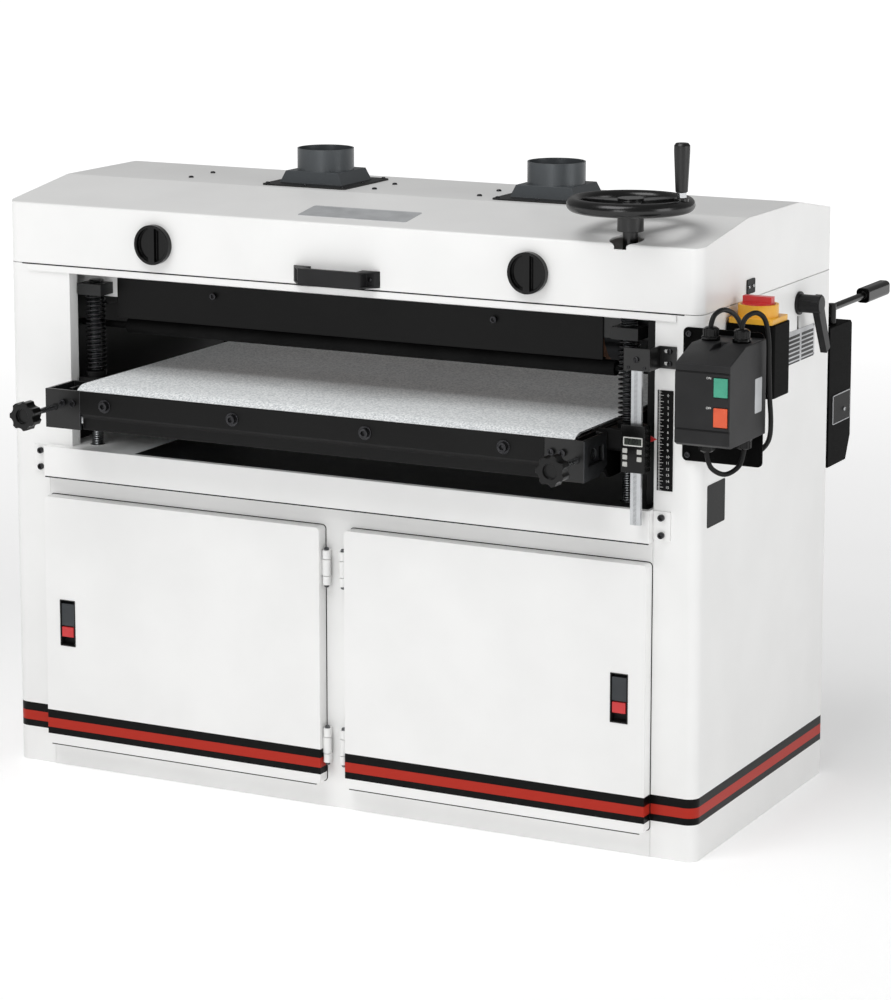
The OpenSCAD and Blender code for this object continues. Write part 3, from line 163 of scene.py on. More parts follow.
# Switch cables
# Three round rubber-sheathed cables, held by a gland at the switch box and going back into the
# disconnect box, the cabinet's side and the switch box itself. Each is one smooth curve.
# Rubber sheath: extruded, near black, with the dull sheen of a wiped hose.
cable_rubber = surface("cable_rubber", "#0a0a0a", "#101010", roughness=0.5, grain=0.9, depth=0.02,
                       patch=40, specular=0.25)
cable_d = 8 * mm
steps_between = 6


def smooth_route(points):
    route = [Vector(p) * mm for p in points]
    ends = [route[0]] + route + [route[-1]]
    line = []
    for a, b, c, d in zip(ends, ends[1:], ends[2:], ends[3:]):
        for i in range(steps_between):
            t = i / steps_between
            line.append(0.5 * (2 * b + (c - a) * t + (2 * a - 5 * b + 4 * c - d) * t ** 2
                               + (3 * b - a - 3 * c + d) * t ** 3))
    return line + [route[-1]]


def lay_cable(name, points):
    line = smooth_route(points)
    data = bpy.data.curves.new(name, "CURVE")
    data.dimensions = "3D"
    data.bevel_depth = cable_d / 2
    data.bevel_resolution = 4
    data.use_fill_caps = True
    spline = data.splines.new("POLY")
    spline.points.add(len(line) - 1)
    for point, place in zip(spline.points, line):
        point.co = (*place, 1)
    cable = bpy.data.objects.new(name, data)
    bpy.context.scene.collection.objects.link(cable)
    data.materials.append(cable_rubber)
    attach(cable, "cabinet")
    return cable


supply_cable = lay_cable("supply_cable", [
    (700, -347.5, 890), (700, -347.5, 903), (702, -336.5, 917), (705, -304.5, 920),
    (708, -262.5, 903), (711, -229.8, 866), (712, -211.8, 844), (712, -202.8, 842),
    (712, -193.8, 842)])
lay_cable("motor_cable", [
    (752, -347.5, 890), (752, -347.5, 903), (756, -340.5, 917), (767, -326.5, 923),
    (777, -314.5, 911), (781, -308.5, 880), (781, -305.5, 840), (781, -300.5, 790),
    (780, -290.5, 745), (772, -278.5, 712), (752, -268.5, 690), (722, -260.5, 675),
    (690, -256.5, 672), (654, -256.5, 672)])
lay_cable("loop_cable", [
    (706, -372.5, 714), (706, -372.5, 699), (712, -366.5, 677), (728, -350.5, 666),
    (744, -334.5, 677), (750, -328.5, 699), (750, -328.5, 714)])
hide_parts("switch_cables")


# Side panels, base cabinet, hood and cross members
# Folded 3 mm sheet steel, welded and powder coated. Three painted bands run round the foot of
# the side panels and the doors. The base frame, hood and rails are the same white, unbanded.
# Powder coat: white, satin, with a fine orange peel about 2 mm across, drawn coarser to show.
def dress(material, *nodes):
    for name in nodes:
        for slot in frame["nodes"][name].material_slots:
            slot.material = material


# What is folded, moulded or cast has rounded edges: a copy of the solid, freed of its triangles,
# whose sharp edges are rounded off by a width in millimetres, stands for the node.
flat_bend, sharp_bend, smooth_bend = math.radians(1), math.radians(30), math.radians(35)


def soften(width, material, *nodes):
    bodies = frame["record"]["behaviour"]["bodies"].items()
    for name in nodes:
        bpy.ops.object.select_all(action="DESELECT")
        piece = bpy.data.objects.new(name + "_rounded", frame["nodes"][name].data.copy())
        bpy.context.scene.collection.objects.link(piece)
        bpy.context.view_layer.objects.active = piece
        piece.select_set(True)
        bpy.ops.object.mode_set(mode="EDIT")
        bpy.ops.mesh.select_all(action="SELECT")
        bpy.ops.mesh.customdata_custom_splitnormals_clear()
        bpy.ops.mesh.remove_doubles(threshold=1e-6)
        bpy.ops.mesh.dissolve_limited(angle_limit=flat_bend)
        bpy.ops.mesh.select_all(action="SELECT")
        bpy.ops.mesh.vert_connect_concave()
        bpy.ops.mesh.select_mode(type="EDGE")
        bpy.ops.mesh.select_all(action="DESELECT")
        bpy.ops.mesh.edges_select_sharp(sharpness=sharp_bend)
        bpy.ops.mesh.bevel(offset=width * mm, segments=3, affect="EDGES", clamp_overlap=False)
        bpy.ops.object.mode_set(mode="OBJECT")
        bpy.ops.object.shade_smooth_by_angle(angle=smooth_bend)
        piece.modifiers.new("flat_faces", "WEIGHTED_NORMAL").keep_sharp = True
        bpy.ops.object.modifier_apply(modifier="flat_faces")
        piece.data.materials.clear()
        piece.data.materials.append(material)
        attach(piece, next(body for body, members in bodies if name in members))
        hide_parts(name)


# Another colour over part of a finish, wherever a mask worked out by its nodes is 1.
def overpaint(material, mask, colour):
    tree = material.node_tree
    base = tree.nodes["Principled BSDF"].inputs["Base Color"]
    coat = add(material, "MixRGB", {0: mask, 1: base.links[0].from_socket, 2: colour})
    tree.links.new(coat.outputs[0], base)


powder = {"low": "#efefee", "high": "#f3f3f2", "roughness": 0.34, "grain": 2.6, "depth": 0.018,
          "edge": 1.6}
white_coat = surface("white_powder_coat", **powder)
dress(white_coat, "base_cabinet", "hood")
# The black middle of the deck is a painted shadow of the table; its ends, the rails and the
# crossbars are white.
deck_half_depth, deck_top, shadow_middle, shadow_half_width = 300, 880, 87.5, 487.5
deck_coat_and_shadow = surface("white_coat_and_painted_shadow", **powder)
spot = add(deck_coat_and_shadow, "SeparateXYZ", {0: add(deck_coat_and_shadow, "TexCoord").outputs["Object"]})
depth = add(deck_coat_and_shadow, "Math", {0: spot.outputs["Y"]}, operation="ABSOLUTE")
inner = add(deck_coat_and_shadow, "Math", {0: depth, 1: deck_half_depth * mm}, operation="LESS_THAN")
lower = add(deck_coat_and_shadow, "Math", {0: spot.outputs["Z"], 1: deck_top * mm}, operation="LESS_THAN")
central = add(deck_coat_and_shadow, "Math", {0: spot.outputs["X"], 1: shadow_middle * mm,
                                  2: shadow_half_width * mm}, operation="COMPARE")
deck = add(deck_coat_and_shadow, "Math", {0: inner, 1: lower}, operation="MULTIPLY")
table_shadow = add(deck_coat_and_shadow, "Math", {0: deck, 1: central}, operation="MULTIPLY")
# Painted shadow: the table's shade over the middle of the white deck, drawn in black.
overpaint(deck_coat_and_shadow, table_shadow, linear("#060606"))
dress(deck_coat_and_shadow, "cross_members")
soften(0.35, white_coat, "hinges")

# Bands: black, red and black, by their heights above the floor.
band_foot, red_foot, red_top, band_top, ramp_top = 62, 74, 91, 106.7, 200
banded_coat = surface("white_powder_coat_banded", **powder, specular=0.12)
place = add(banded_coat, "TexCoord")
spot = add(banded_coat, "SeparateXYZ", {0: place.outputs["Object"]})
height = add(banded_coat, "MapRange", {"Value": spot.outputs["Z"], "From Max": ramp_top * mm})
bands = add(banded_coat, "ValToRGB", {"Fac": height})
stripes = bands.color_ramp.elements
bands.color_ramp.interpolation = "CONSTANT"
for position, colour in ((band_foot, "#070707"), (red_foot, "#b02e22"), (red_top, "#070707")):
    stripes.new(position / ramp_top).color = linear(colour)
stripes[-1].position = band_top / ramp_top
for end in (0, -1):
    stripes[end].color = linear("#f1f1f0")
# The bands are printed on the outside only, where the normal points away from the middle, and
# on the hinged edge of each door. The hinge knuckles beside that edge stay white.
door_edge, edge_reach = 24.3, 0.35
flat_place = add(banded_coat, "VectorMath", {0: place.outputs["Object"], 1: (1, 1, 0)},
                 operation="MULTIPLY")
outward = add(banded_coat, "VectorMath", {0: flat_place, 1: place.outputs["Normal"]},
              operation="DOT_PRODUCT")
outside = add(banded_coat, "Math", {0: outward.outputs["Value"], 1: 0.0}, operation="GREATER_THAN")
low_down = add(banded_coat, "Math", {0: spot.outputs["Z"], 1: band_top * mm}, operation="LESS_THAN")
above = add(banded_coat, "Math", {0: spot.outputs["Z"], 1: band_foot * mm},
            operation="GREATER_THAN")
in_band = add(banded_coat, "Math", {0: low_down, 1: above}, operation="MULTIPLY")
across = add(banded_coat, "Math", {0: spot.outputs["X"]}, operation="ABSOLUTE")
hinged_edge = add(banded_coat, "Math", {0: across, 1: door_edge * mm, 2: edge_reach * mm},
                  operation="COMPARE")
shown = add(banded_coat, "Math", {0: outside, 1: hinged_edge}, operation="MAXIMUM")
past_hinge = add(banded_coat, "Math", {0: across, 1: (door_edge - edge_reach) * mm},
                 operation="GREATER_THAN")
on_panel = add(banded_coat, "Math", {0: shown, 1: past_hinge}, operation="MULTIPLY")
mask = add(banded_coat, "Math", {0: in_band, 1: on_panel}, operation="MULTIPLY")
overpaint(banded_coat, mask, bands)
# Each door's latch pocket is lined by the latch's charcoal body.
latch_x, latch_z, pocket_half_width, pocket_half_height = 534, 269, 14.2, 40.2
near = add(banded_coat, "Math", {0: across, 1: latch_x * mm, 2: pocket_half_width * mm},
           operation="COMPARE")
level = add(banded_coat, "Math", {0: spot.outputs["Z"], 1: latch_z * mm,
                                  2: pocket_half_height * mm}, operation="COMPARE")
pocket = add(banded_coat, "Math", {0: near, 1: level}, operation="MULTIPLY")
overpaint(banded_coat, pocket, linear("#1d1d1e"))
dress(banded_coat, "left_side_panel", "right_side_panel")
soften(0.4, banded_coat, "left_door", "right_door")

# Head frame, table bed and other black steel
# Plates and folded brackets inside the head and under the belt, painted black on bare steel.
# Black paint: semi-gloss, sprayed, with a fine texture that catches a little light.
black_paint = surface("black_paint", "#070707", "#0c0c0c", roughness=0.46, grain=1.8, depth=0.03,
                      edge=0.8, specular=0.2)
dress(black_paint, "head_frame", "table_bed", "lift_nuts")
soften(1, black_paint, "front_bar")
# Textured black: a wrinkle coat on the guard and the switch plate, dull enough to hide its gloss.
textured_black = surface("textured_black", "#040404", "#070707", roughness=0.6, grain=1.4,
                         depth=0.06, edge=0.8, specular=0.05)
soften(1.6, textured_black, "feed_guard", "disconnect_box")
dress(textured_black, "switch_plate")

# Bearings, brackets and motors
# Cast housings and folded steel brackets, bolted on; the motors have ribbed cast shells.
# Cast iron under a thin dark grey coat: dull, with the pitting of a sand mould.
cast_iron = surface("painted_cast_iron", "#131314", "#1c1d1d", roughness=0.55, grain=2.2,
                    depth=0.12, patch=60, edge=1.0)
dress(cast_iron, "bearing_blocks")
# Plate steel: rolled and brushed, mid grey, with faint clouding from oil; the faces towards the
# front and the edges are painted black.
plate_steel = surface("rolled_plate_steel", "#5d5f61", "#74767a", roughness=0.36, grain=0.9,
                      depth=0.02, patch=45, edge=0.6, metallic=1.0)
tree = plate_steel.node_tree
place = add(plate_steel, "TexCoord")
facing = add(plate_steel, "SeparateXYZ", {0: place.outputs["Normal"]})
sideways = add(plate_steel, "Math", {0: facing.outputs["X"]}, operation="ABSOLUTE")
bare = add(plate_steel, "Math", {0: sideways, 1: 0.7}, operation="GREATER_THAN")
coat = add(plate_steel, "MixRGB", {0: bare, 1: linear("#0a0a0a"), 2: tree.nodes["shade"]})
for socket, node in (("Base Color", coat), ("Metallic", bare)):
    tree.links.new(node.outputs[0], tree.nodes["Principled BSDF"].inputs[socket])
soften(0.8, plate_steel, "tension_brackets")
# Motor enamel: sprayed thick over the casting, dark grey, half matt.
motor_paint = surface("motor_enamel", "#262626", "#303030", roughness=0.45, grain=1.6, depth=0.05,
                      patch=90, edge=1.0)
dress(motor_paint, "main_motor", "feed_motor")

# Drive belt and lift chain
# A moulded rubber belt round three pulleys, and an oiled roller chain round four sprockets.
# Belt rubber: moulded, dull and dusty black.
belt_rubber = surface("drive_belt_rubber", "#0e0e0e", "#181818", roughness=0.7, grain=1.2,
                      depth=0.08, patch=30)
dress(belt_rubber, "drive_belt")
# Chain steel: oiled and dark, with the side plates of 12.7 mm links drawn as light and dark.
link_pitch = 12.7
chain_steel = surface("oiled_chain_steel", "#1d1d1e", "#3a3a3c", roughness=0.4, grain=0.8,
                      depth=0.03, patch=13, metallic=1.0)
tree = chain_steel.node_tree
spot = add(chain_steel, "SeparateXYZ", {0: add(chain_steel, "TexCoord").outputs["Object"]})
along = add(chain_steel, "Math", {0: spot.outputs["X"], 1: spot.outputs["Y"]}, operation="ADD")
links = add(chain_steel, "Math", {0: along, 1: link_pitch * mm}, operation="PINGPONG")
raised = add(chain_steel, "Bump", {"Height": links, "Distance": 1.0,
                                   "Normal": tree.nodes["relief"]})
tree.links.new(raised.outputs["Normal"], tree.nodes["Principled BSDF"].inputs["Normal"])
dress(chain_steel, "lift_chain")

# Sanding drums and pulleys
# Turned drums wound with a spiral strip of brown abrasive cloth, 100 mm wide, on steel shafts.
# Abrasive cloth: resin-bonded grit, reddish brown and matt, with a dark joint between turns.
drum_y, drum_z, strip_width, joint_share = 115, 858, 100, 0.02
abrasive = surface("abrasive_cloth", "#5a3d2b", "#6d4a34", roughness=0.9, grain=1.1, depth=0.25,
                   patch=20)
tree = abrasive.node_tree
spot = add(abrasive, "SeparateXYZ", {0: add(abrasive, "TexCoord").outputs["Object"]})
rise = add(abrasive, "Math", {0: spot.outputs["Z"], 1: drum_z * mm}, operation="SUBTRACT")
side = add(abrasive, "Math", {0: spot.outputs["Y"]}, operation="ABSOLUTE")
out = add(abrasive, "Math", {0: side, 1: drum_y * mm}, operation="SUBTRACT")
turn = add(abrasive, "Math", {0: rise, 1: out}, operation="ARCTAN2")
turns = add(abrasive, "Math", {0: turn, 1: 2 * math.pi}, operation="DIVIDE")
pitch = add(abrasive, "Math", {0: spot.outputs["X"], 1: strip_width * mm}, operation="DIVIDE")
wind = add(abrasive, "Math", {0: pitch, 1: turns}, operation="ADD")
strip = add(abrasive, "Math", {0: wind}, operation="FRACT")
joint = add(abrasive, "Math", {0: strip, 1: joint_share}, operation="LESS_THAN")
overpaint(abrasive, joint, linear("#2a1c14"))
# The drum's last 30 mm, the shaft and the pulley are bare oiled steel.
wound_middle, wound_half = 6, 438
wound = add(abrasive, "Math", {0: spot.outputs["X"], 1: wound_middle * mm, 2: wound_half * mm},
            operation="COMPARE")
bare = add(abrasive, "Math", {0: 1.0, 1: wound}, operation="SUBTRACT")
overpaint(abrasive, bare, linear("#3a3a3c"))
shine = add(abrasive, "MapRange", {"Value": wound, "To Min": 0.3, "To Max": 0.9})
for socket, node in (("Metallic", bare), ("Roughness", shine)):
    tree.links.new(node.outputs[0], tree.nodes["Principled BSDF"].inputs[socket])
dress(abrasive, "front_drum", "rear_drum")

# Rollers, motor pulley and lift screws
# Turned and ground steel. The lift screws carry a 4 mm trapezoidal thread, drawn as relief.
# Bright steel: ground, with fine rings and a slight film of oil.
bright_steel = surface("ground_steel", "#a9abad", "#bdbfc1", roughness=0.24, grain=0.6, depth=0.01,
                       patch=50, edge=0.4, metallic=1.0)
dress(bright_steel, "idler_roller", "drive_roller", "motor_pulley")
# Roller rubber: moulded on the pressure rollers and ground, dull black.
roller_rubber = surface("roller_rubber", "#0b0b0b", "#121212", roughness=0.75, grain=1.0,
                        depth=0.03, patch=60, specular=0.15)
dress(roller_rubber, "infeed_pressure_roller", "outfeed_pressure_roller")
# Threaded steel: rolled, a little darker than what is ground.
thread_pitch = 4
thread_steel = surface("threaded_steel", "#707274", "#86888a", roughness=0.3, grain=0.6, depth=0.01,
                       patch=40, metallic=1.0)
tree = thread_steel.node_tree
spot = add(thread_steel, "SeparateXYZ", {0: add(thread_steel, "TexCoord").outputs["Object"]})
flank = add(thread_steel, "Math", {0: spot.outputs["Z"], 1: thread_pitch / 2 * mm},
            operation="PINGPONG")
thread = add(thread_steel, "Bump", {"Height": flank, "Distance": 1.0,
                                    "Normal": tree.nodes["relief"]})
tree.links.new(thread.outputs["Normal"], tree.nodes["Principled BSDF"].inputs["Normal"])
dress(thread_steel, "lift_screw_front_left", "lift_screw_front_right", "lift_screw_rear_left",
      "lift_screw_rear_right")


# Lift springs
# Compression springs of 3 mm wire, wound cold and oiled black, one round each lift screw between
# the nut on the table and the upper bearing. They close up as the table rises.
# Oiled spring wire: black, drawn smooth, with a bright line along each curl.
def settle(name, body, material):
    piece = bpy.context.object
    bpy.ops.object.transform_apply(location=True, rotation=True, scale=True)
    piece.name = piece.data.name = name
    piece.data.materials.clear()
    piece.data.materials.append(material)
    if body:
        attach(piece, body)
    return piece


spring_wire = surface("oiled_spring_wire", "#262627", "#343436", roughness=0.25, grain=0.8,
                      depth=0.01, patch=20, metallic=0.8)
wire_r, coil_r, curls = 1.5 * mm, 16.5 * mm, 17
wire_sides, curl_steps = 10, 24
spring_low, spring_high = 716.3 * mm, 851.7 * mm
for side, x in (("left", -506 * mm), ("right", 518 * mm)):
    for end, y in (("front", -252.5 * mm), ("rear", 252.5 * mm)):
        bpy.ops.object.select_all(action="DESELECT")
        bpy.ops.mesh.primitive_circle_add(vertices=wire_sides, radius=wire_r,
                                          location=(coil_r, 0, 0), rotation=(math.pi / 2, 0, 0))
        bpy.ops.object.transform_apply(location=True, rotation=True, scale=True)
        winding = bpy.context.object.modifiers.new("winding", "SCREW")
        winding.iterations = curls
        winding.steps = winding.render_steps = curl_steps
        winding.screw_offset = (spring_high - spring_low - 2 * wire_r) / curls
        bpy.ops.object.modifier_apply(modifier="winding")
        bpy.ops.object.mode_set(mode="EDIT")
        bpy.ops.mesh.select_all(action="SELECT")
        bpy.ops.mesh.remove_doubles(threshold=1e-6)
        bpy.ops.mesh.fill_holes(sides=wire_sides)
        bpy.ops.mesh.normals_make_consistent(inside=False)
        bpy.ops.transform.translate(value=(x, y, spring_low + wire_r))
        bpy.ops.object.mode_set(mode="OBJECT")
        bpy.ops.object.shade_smooth_by_angle(angle=math.radians(50))
        spring = settle(f"spring_{end}_{side}", None, spring_wire)
        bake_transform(spring)
        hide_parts("lift_springs")

# Conveyor belt
# An endless belt of grey abrasive cloth, so that boards don't slip, running over the bed.
# Abrasive cloth belt: light and dark mineral grains about 1.5 mm across, drawn coarser to show.
belt_cloth = surface("conveyor_cloth", "#c2c6c8", "#f2f4f4", roughness=0.85, grain=2.2, depth=0.3,
                     patch=3.4)
dress(belt_cloth, "conveyor_belt")

# Moulded plastics
# Knobs, handles, levers and housings, moulded in black or dark grey, with a fine eroded grain.
# Phenolic and nylon: near black, smooth enough for soft highlights along the round edges.
black_plastic = surface("black_phenolic", "#040404", "#070707", roughness=0.18, grain=0.8,
                        depth=0.008, patch=60, edge=1.4, specular=0.25)
soften(0.7, black_plastic, "left_hood_knob", "right_hood_knob", "feed_lever")
# The handwheel's rim is polished, so that it takes a long highlight.
wheel_gloss = surface("polished_phenolic", "#070707", "#0b0b0b", roughness=0.24, grain=0.8,
                      depth=0.008, patch=60, edge=1.4)
soften(0.6, wheel_gloss, "handwheel")
soften(0.6, black_plastic, "readout_head")
# Charcoal and dark grey ABS: half matt, as the mould's eroded walls leave it.
charcoal = surface("charcoal_abs", "#1c1c1d", "#232324", roughness=0.5, grain=0.7, depth=0.03,
                   patch=60, edge=1.4, specular=0.25)
soften(1.5, charcoal, "switch_box")
soften(1, charcoal, "hood_handle")
latch_grey = surface("dark_grey_abs", "#34373a", "#3e4144", roughness=0.45, grain=0.7, depth=0.03,
                     patch=60, edge=0.6, specular=0.3)
soften(0.3, latch_grey, "left_latch_lever", "right_latch_lever")
# The lock lever is a zinc casting, sprayed black.
lever_black = surface("black_zinc_casting", "#101011", "#171718", roughness=0.4, grain=1.0,
                      depth=0.04, patch=40, edge=1.4, specular=0.25)
soften(0.75, lever_black, "lock_lever")


# Two finishes on one piece: past a limit along one axis, in millimetres, the piece is another
# colour, with another gloss and metal or not.
def second_finish(material, axis, limit, colour, roughness, metallic):
    tree = material.node_tree
    shader = tree.nodes["Principled BSDF"]
    spot = add(material, "SeparateXYZ", {0: add(material, "TexCoord").outputs["Object"]})
    past = add(material, "Math", {0: spot.outputs[axis], 1: limit * mm}, operation="GREATER_THAN")
    first_metallic = shader.inputs["Metallic"].default_value
    for socket, first, second in (
            ("Base Color", tree.nodes["shade"], linear(colour)),
            ("Roughness", tree.nodes["gloss"], (roughness,) * 3 + (1,)),
            ("Metallic", (first_metallic,) * 3 + (1,), (metallic,) * 3 + (1,))):
        choice = add(material, "MixRGB", {0: past, 1: first, 2: second})
        tree.links.new(choice.outputs[0], shader.inputs[socket])


# Tension knobs: black phenolic stars moulded on bright plated screws.
knob_on_screw = surface("phenolic_on_plated_steel", "#080808", "#0d0d0d", roughness=0.32, grain=0.8,
                        depth=0.015, patch=60, edge=2.0, specular=0.3)
second_finish(knob_on_screw, "Y", -464, "#b4b6b8", roughness=0.22, metallic=1)
soften(0.5, knob_on_screw, "left_tension_knob", "right_tension_knob")
# Crank grip: a plated ferrule below a black phenolic handle.
grip_on_ferrule = surface("plated_steel_ferrule", "#c4c6c8", "#cfd1d3", roughness=0.15, grain=0.8,
                          depth=0.005, patch=30, metallic=1)
second_finish(grip_on_ferrule, "Z", 1094.8, "#0b0b0b", roughness=0.35, metallic=0)
soften(0.8, grip_on_ferrule, "handwheel_grip")
# Hammertone paint on the dust ports: dark grey, with a pebbled relief about 2 mm across, above a
# black flange.
hammertone = surface("hammertone_grey", "#040404", "#080808", roughness=0.5, grain=2.0, depth=0.25,
                     patch=8, edge=1.0)
second_finish(hammertone, "Z", 1042.3, "#4c5053", roughness=0.34, metallic=0.3)
soften(0.4, hammertone, "dust_ports")
# Coloured nylon: moulded through in one colour, smooth, with a soft gleam.
red_plastic = surface("red_nylon", "#c22a2c", "#cf3234", roughness=0.32, grain=0.8, depth=0.01,
                      patch=30, edge=0.8)
soften(0.25, red_plastic, "disconnect_knob")
soften(0.8, red_plastic, "left_latch_button", "right_latch_button", "depth_pointer")
orange_plastic = surface("orange_red_nylon", "#d2502a", "#dd5a30", roughness=0.35, grain=0.8,
                         depth=0.01, patch=30, edge=0.8)
soften(1, orange_plastic, "stop_button")
green_plastic = surface("green_nylon", "#37957a", "#42a184", roughness=0.35, grain=0.8, depth=0.01,
                        patch=30, edge=0.8)
soften(1, green_plastic, "start_button")
yellow_plastic = surface("yellow_nylon", "#e2a528", "#edb234", roughness=0.35, grain=0.8,
                         depth=0.01, patch=40, edge=1.0)
soften(0.3, yellow_plastic, "disconnect_flange")

# Screws
# Cross-recessed pan-head screws, zinc plated and black, cut once and set wherever a plate, a
# port or a bracket is screwed to the sheet. The bolts have the same finish.
# Black zinc: plated, dark, with the soft gleam of a rolled head.
black_zinc = surface("black_zinc", "#2c2c2e", "#3c3c3e", roughness=0.25, grain=0.5, depth=0.01,
                     patch=6, metallic=0.85)
soften(0.7, black_zinc, "table_bolts", "frame_bolts")
up = Matrix.Identity(4)
to_front = Matrix(((1, 0, 0, 0), (0, 0, -1, 0), (0, 1, 0, 0), (0, 0, 0, 1)))
to_right = Matrix(((0, 0, 1, 0), (1, 0, 0, 0), (0, 1, 0, 0), (0, 0, 0, 1)))


# Selects faces or edges by their middle and by their normal or direction, and stays in edit mode.
def pick(piece, kind, test):
    bpy.ops.object.mode_set(mode="EDIT")
    bpy.ops.mesh.select_mode(type=kind)
    bpy.ops.mesh.select_all(action="DESELECT")
    bpy.ops.object.mode_set(mode="OBJECT")
    points = piece.data.vertices
    if kind == "FACE":
        for face in piece.data.polygons:
            face.select = test(face.center, face.normal)
    else:
        for edge in piece.data.edges:
            a, b = (points[i].co for i in edge.vertices)
            edge.select = test((a + b) / 2, (b - a).normalized())
    bpy.ops.object.mode_set(mode="EDIT")


def round_edges(piece, test, width, segments):
    pick(piece, "EDGE", test)
    bpy.ops.mesh.bevel(offset=width, segments=segments, affect="EDGES")
    bpy.ops.object.mode_set(mode="OBJECT")


# A blank as it comes off the lathe, standing upright with its foot at a height.
def turned_blank(sides, radius, tall, foot=0):
    bpy.ops.object.select_all(action="DESELECT")
    bpy.ops.mesh.primitive_cylinder_add(vertices=sides, radius=radius, depth=tall,
                                        location=(0, 0, foot + tall / 2))
    bpy.ops.object.transform_apply(location=True)
    return bpy.context.object


# The head is drawn with a radius of 1 and scaled to each screw.
head_tall, head_round, recess_size = 0.7, 0.45, (1.1, 0.24, 0.5)
head = turned_blank(20, 1, head_tall)
round_edges(head, lambda middle, along: middle.z > 0.99 * head_tall, head_round, 3)
for turn in (0, math.pi / 2):
    bpy.ops.mesh.primitive_cube_add(size=1, location=(0, 0, head_tall), rotation=(0, 0, turn))
    bpy.context.object.scale = recess_size
    bpy.ops.object.transform_apply(location=True, rotation=True, scale=True)
    recess = bpy.context.object
    bpy.context.view_layer.objects.active = head
    cut = head.modifiers.new("recess", "BOOLEAN")
    cut.object = recess
    bpy.ops.object.modifier_apply(modifier="recess")
    bpy.data.objects.remove(recess)
head.select_set(True)
bpy.ops.object.shade_smooth_by_angle(angle=math.radians(40))
screw_head = head.data
bpy.data.objects.remove(head)


def drive_screw(name, body, place, turn, radius, material=black_zinc,
                head=screw_head):
    mesh = head.copy()
    mesh.transform(Matrix.Translation(Vector(place) * mm) @ turn @ Matrix.Scale(radius * mm, 4))
    screw = bpy.data.objects.new(name, mesh)
    bpy.context.scene.collection.objects.link(screw)
    mesh.name = name
    mesh.materials.clear()
    mesh.materials.append(material)
    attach(screw, body)


hood_top, flange_top, flange_half = 1039, 1042, 75
for i, x in enumerate((-432, -60, 144)):
    for j, y in enumerate((-47.5, 27.5)):
        drive_screw(f"hood_screw_{i}_{j}", "hood", (x, y, hood_top), up, 4.5)
round_flange = ((-1, -1), (0, -1), (1, -1), (1, 0), (1, 1), (0, 1), (-1, 1), (-1, 0))
for i, x in enumerate((-183, 267)):
    for j, (u, v) in enumerate(round_flange):
        drive_screw(f"port_screw_{i}_{j}", "hood",
                    (x + flange_half * u, flange_half * v, flange_top), up, 3.6)
for i, z in enumerate((824, 844)):
    drive_screw(f"bracket_screw_{i}", "cabinet", (608, -295.5, z), to_front, 4.5)
drive_screw("beam_screw", "cabinet", (568, -336.5, 834), to_front, 5)
for i, x in enumerate((-68, 68)):
    drive_screw(f"handle_screw_{i}", "hood", (x, -300.5, 923), to_front, 4)
for i, x in enumerate((554, 582)):
    drive_screw(f"beam_clip_screw_{i}", "cabinet", (x, -336.5, 821), to_front, 2.6)

# Hinge pins
# The ends of the door hinges' steel pins, turned to a dome and standing a little out of the
# knuckles above and below. One is drawn with a radius of 1 and scaled to the pin.
dome_tall, dome_round, pin_r = 1.2, 0.7, 4.4
down = Matrix.Rotation(math.pi, 4, "X")
pin_end = turned_blank(24, 1, dome_tall)
round_edges(pin_end, lambda middle, along: middle.z > 0.99 * dome_tall, dome_round, 4)
bpy.ops.object.shade_smooth_by_angle(angle=smooth_bend)
domed_end = pin_end.data
bpy.data.objects.remove(pin_end)
for i, x in enumerate((-16, 16)):
    for j, (z, turn) in enumerate(((83, down), (143, up), (395, down), (455, up))):
        drive_screw(f"hinge_pin_end_{i}_{j}", "cabinet", (x, -304.5, z), turn, pin_r,
                    thread_steel, domed_end)


# Plates and labels
# Thin stamped plates, riveted or stuck on and left bare: a data plate and a small black plate on
# the right side, a badge on the hood, a label on the switch box and the feed guard's cover.
# Brushed aluminium: anodised pale grey, with fine lines along the plate.
def plate(name, body, size, corner, place, turn, material):
    width, height, thick = size
    eased, rim = min(thick * 0.4, corner * 0.25), min(1.6, corner * 0.35)
    step, sunk = min(0.3, corner * 0.2), min(thick * 0.3, 0.3)
    bpy.ops.object.select_all(action="DESELECT")
    bpy.ops.mesh.primitive_cube_add(size=1, location=(0, 0, thick * mm / 2))
    sheet = bpy.context.object
    sheet.scale = (width * mm, height * mm, thick * mm)
    bpy.ops.object.transform_apply(location=True, scale=True)
    round_edges(sheet, lambda middle, along: abs(along.z) > 0.9, corner * mm, 4)
    pick(sheet, "FACE", lambda middle, normal: normal.z > 0.9)
    for inset, depth in ((eased, 0), (rim, 0), (step, -sunk)):
        bpy.ops.mesh.inset(thickness=inset * mm, depth=depth * mm)
    bpy.ops.object.mode_set(mode="OBJECT")
    sheet.data.transform(Matrix.Translation(Vector(place) * mm) @ turn)
    settle(name, body, material)


# A plate's rim in another colour: what lies outside a rectangle, given as the middle and the half
# width along two axes, in millimetres.
def rimmed(material, rectangle, colour):
    spot = add(material, "SeparateXYZ", {0: add(material, "TexCoord").outputs["Object"]})
    across, along = [
        add(material, "Math", {0: spot.outputs[axis], 1: middle * mm, 2: half * mm},
            operation="COMPARE") for axis, (middle, half) in rectangle.items()]
    field = add(material, "Math", {0: across, 1: along}, operation="MULTIPLY")
    rim = add(material, "Math", {0: 1.0, 1: field}, operation="SUBTRACT")
    overpaint(material, rim, linear(colour))


brushed = surface("brushed_aluminium", "#b4b6b8", "#c2c4c6", roughness=0.38, grain=0.5, depth=0.01,
                  patch=30, metallic=0.2)
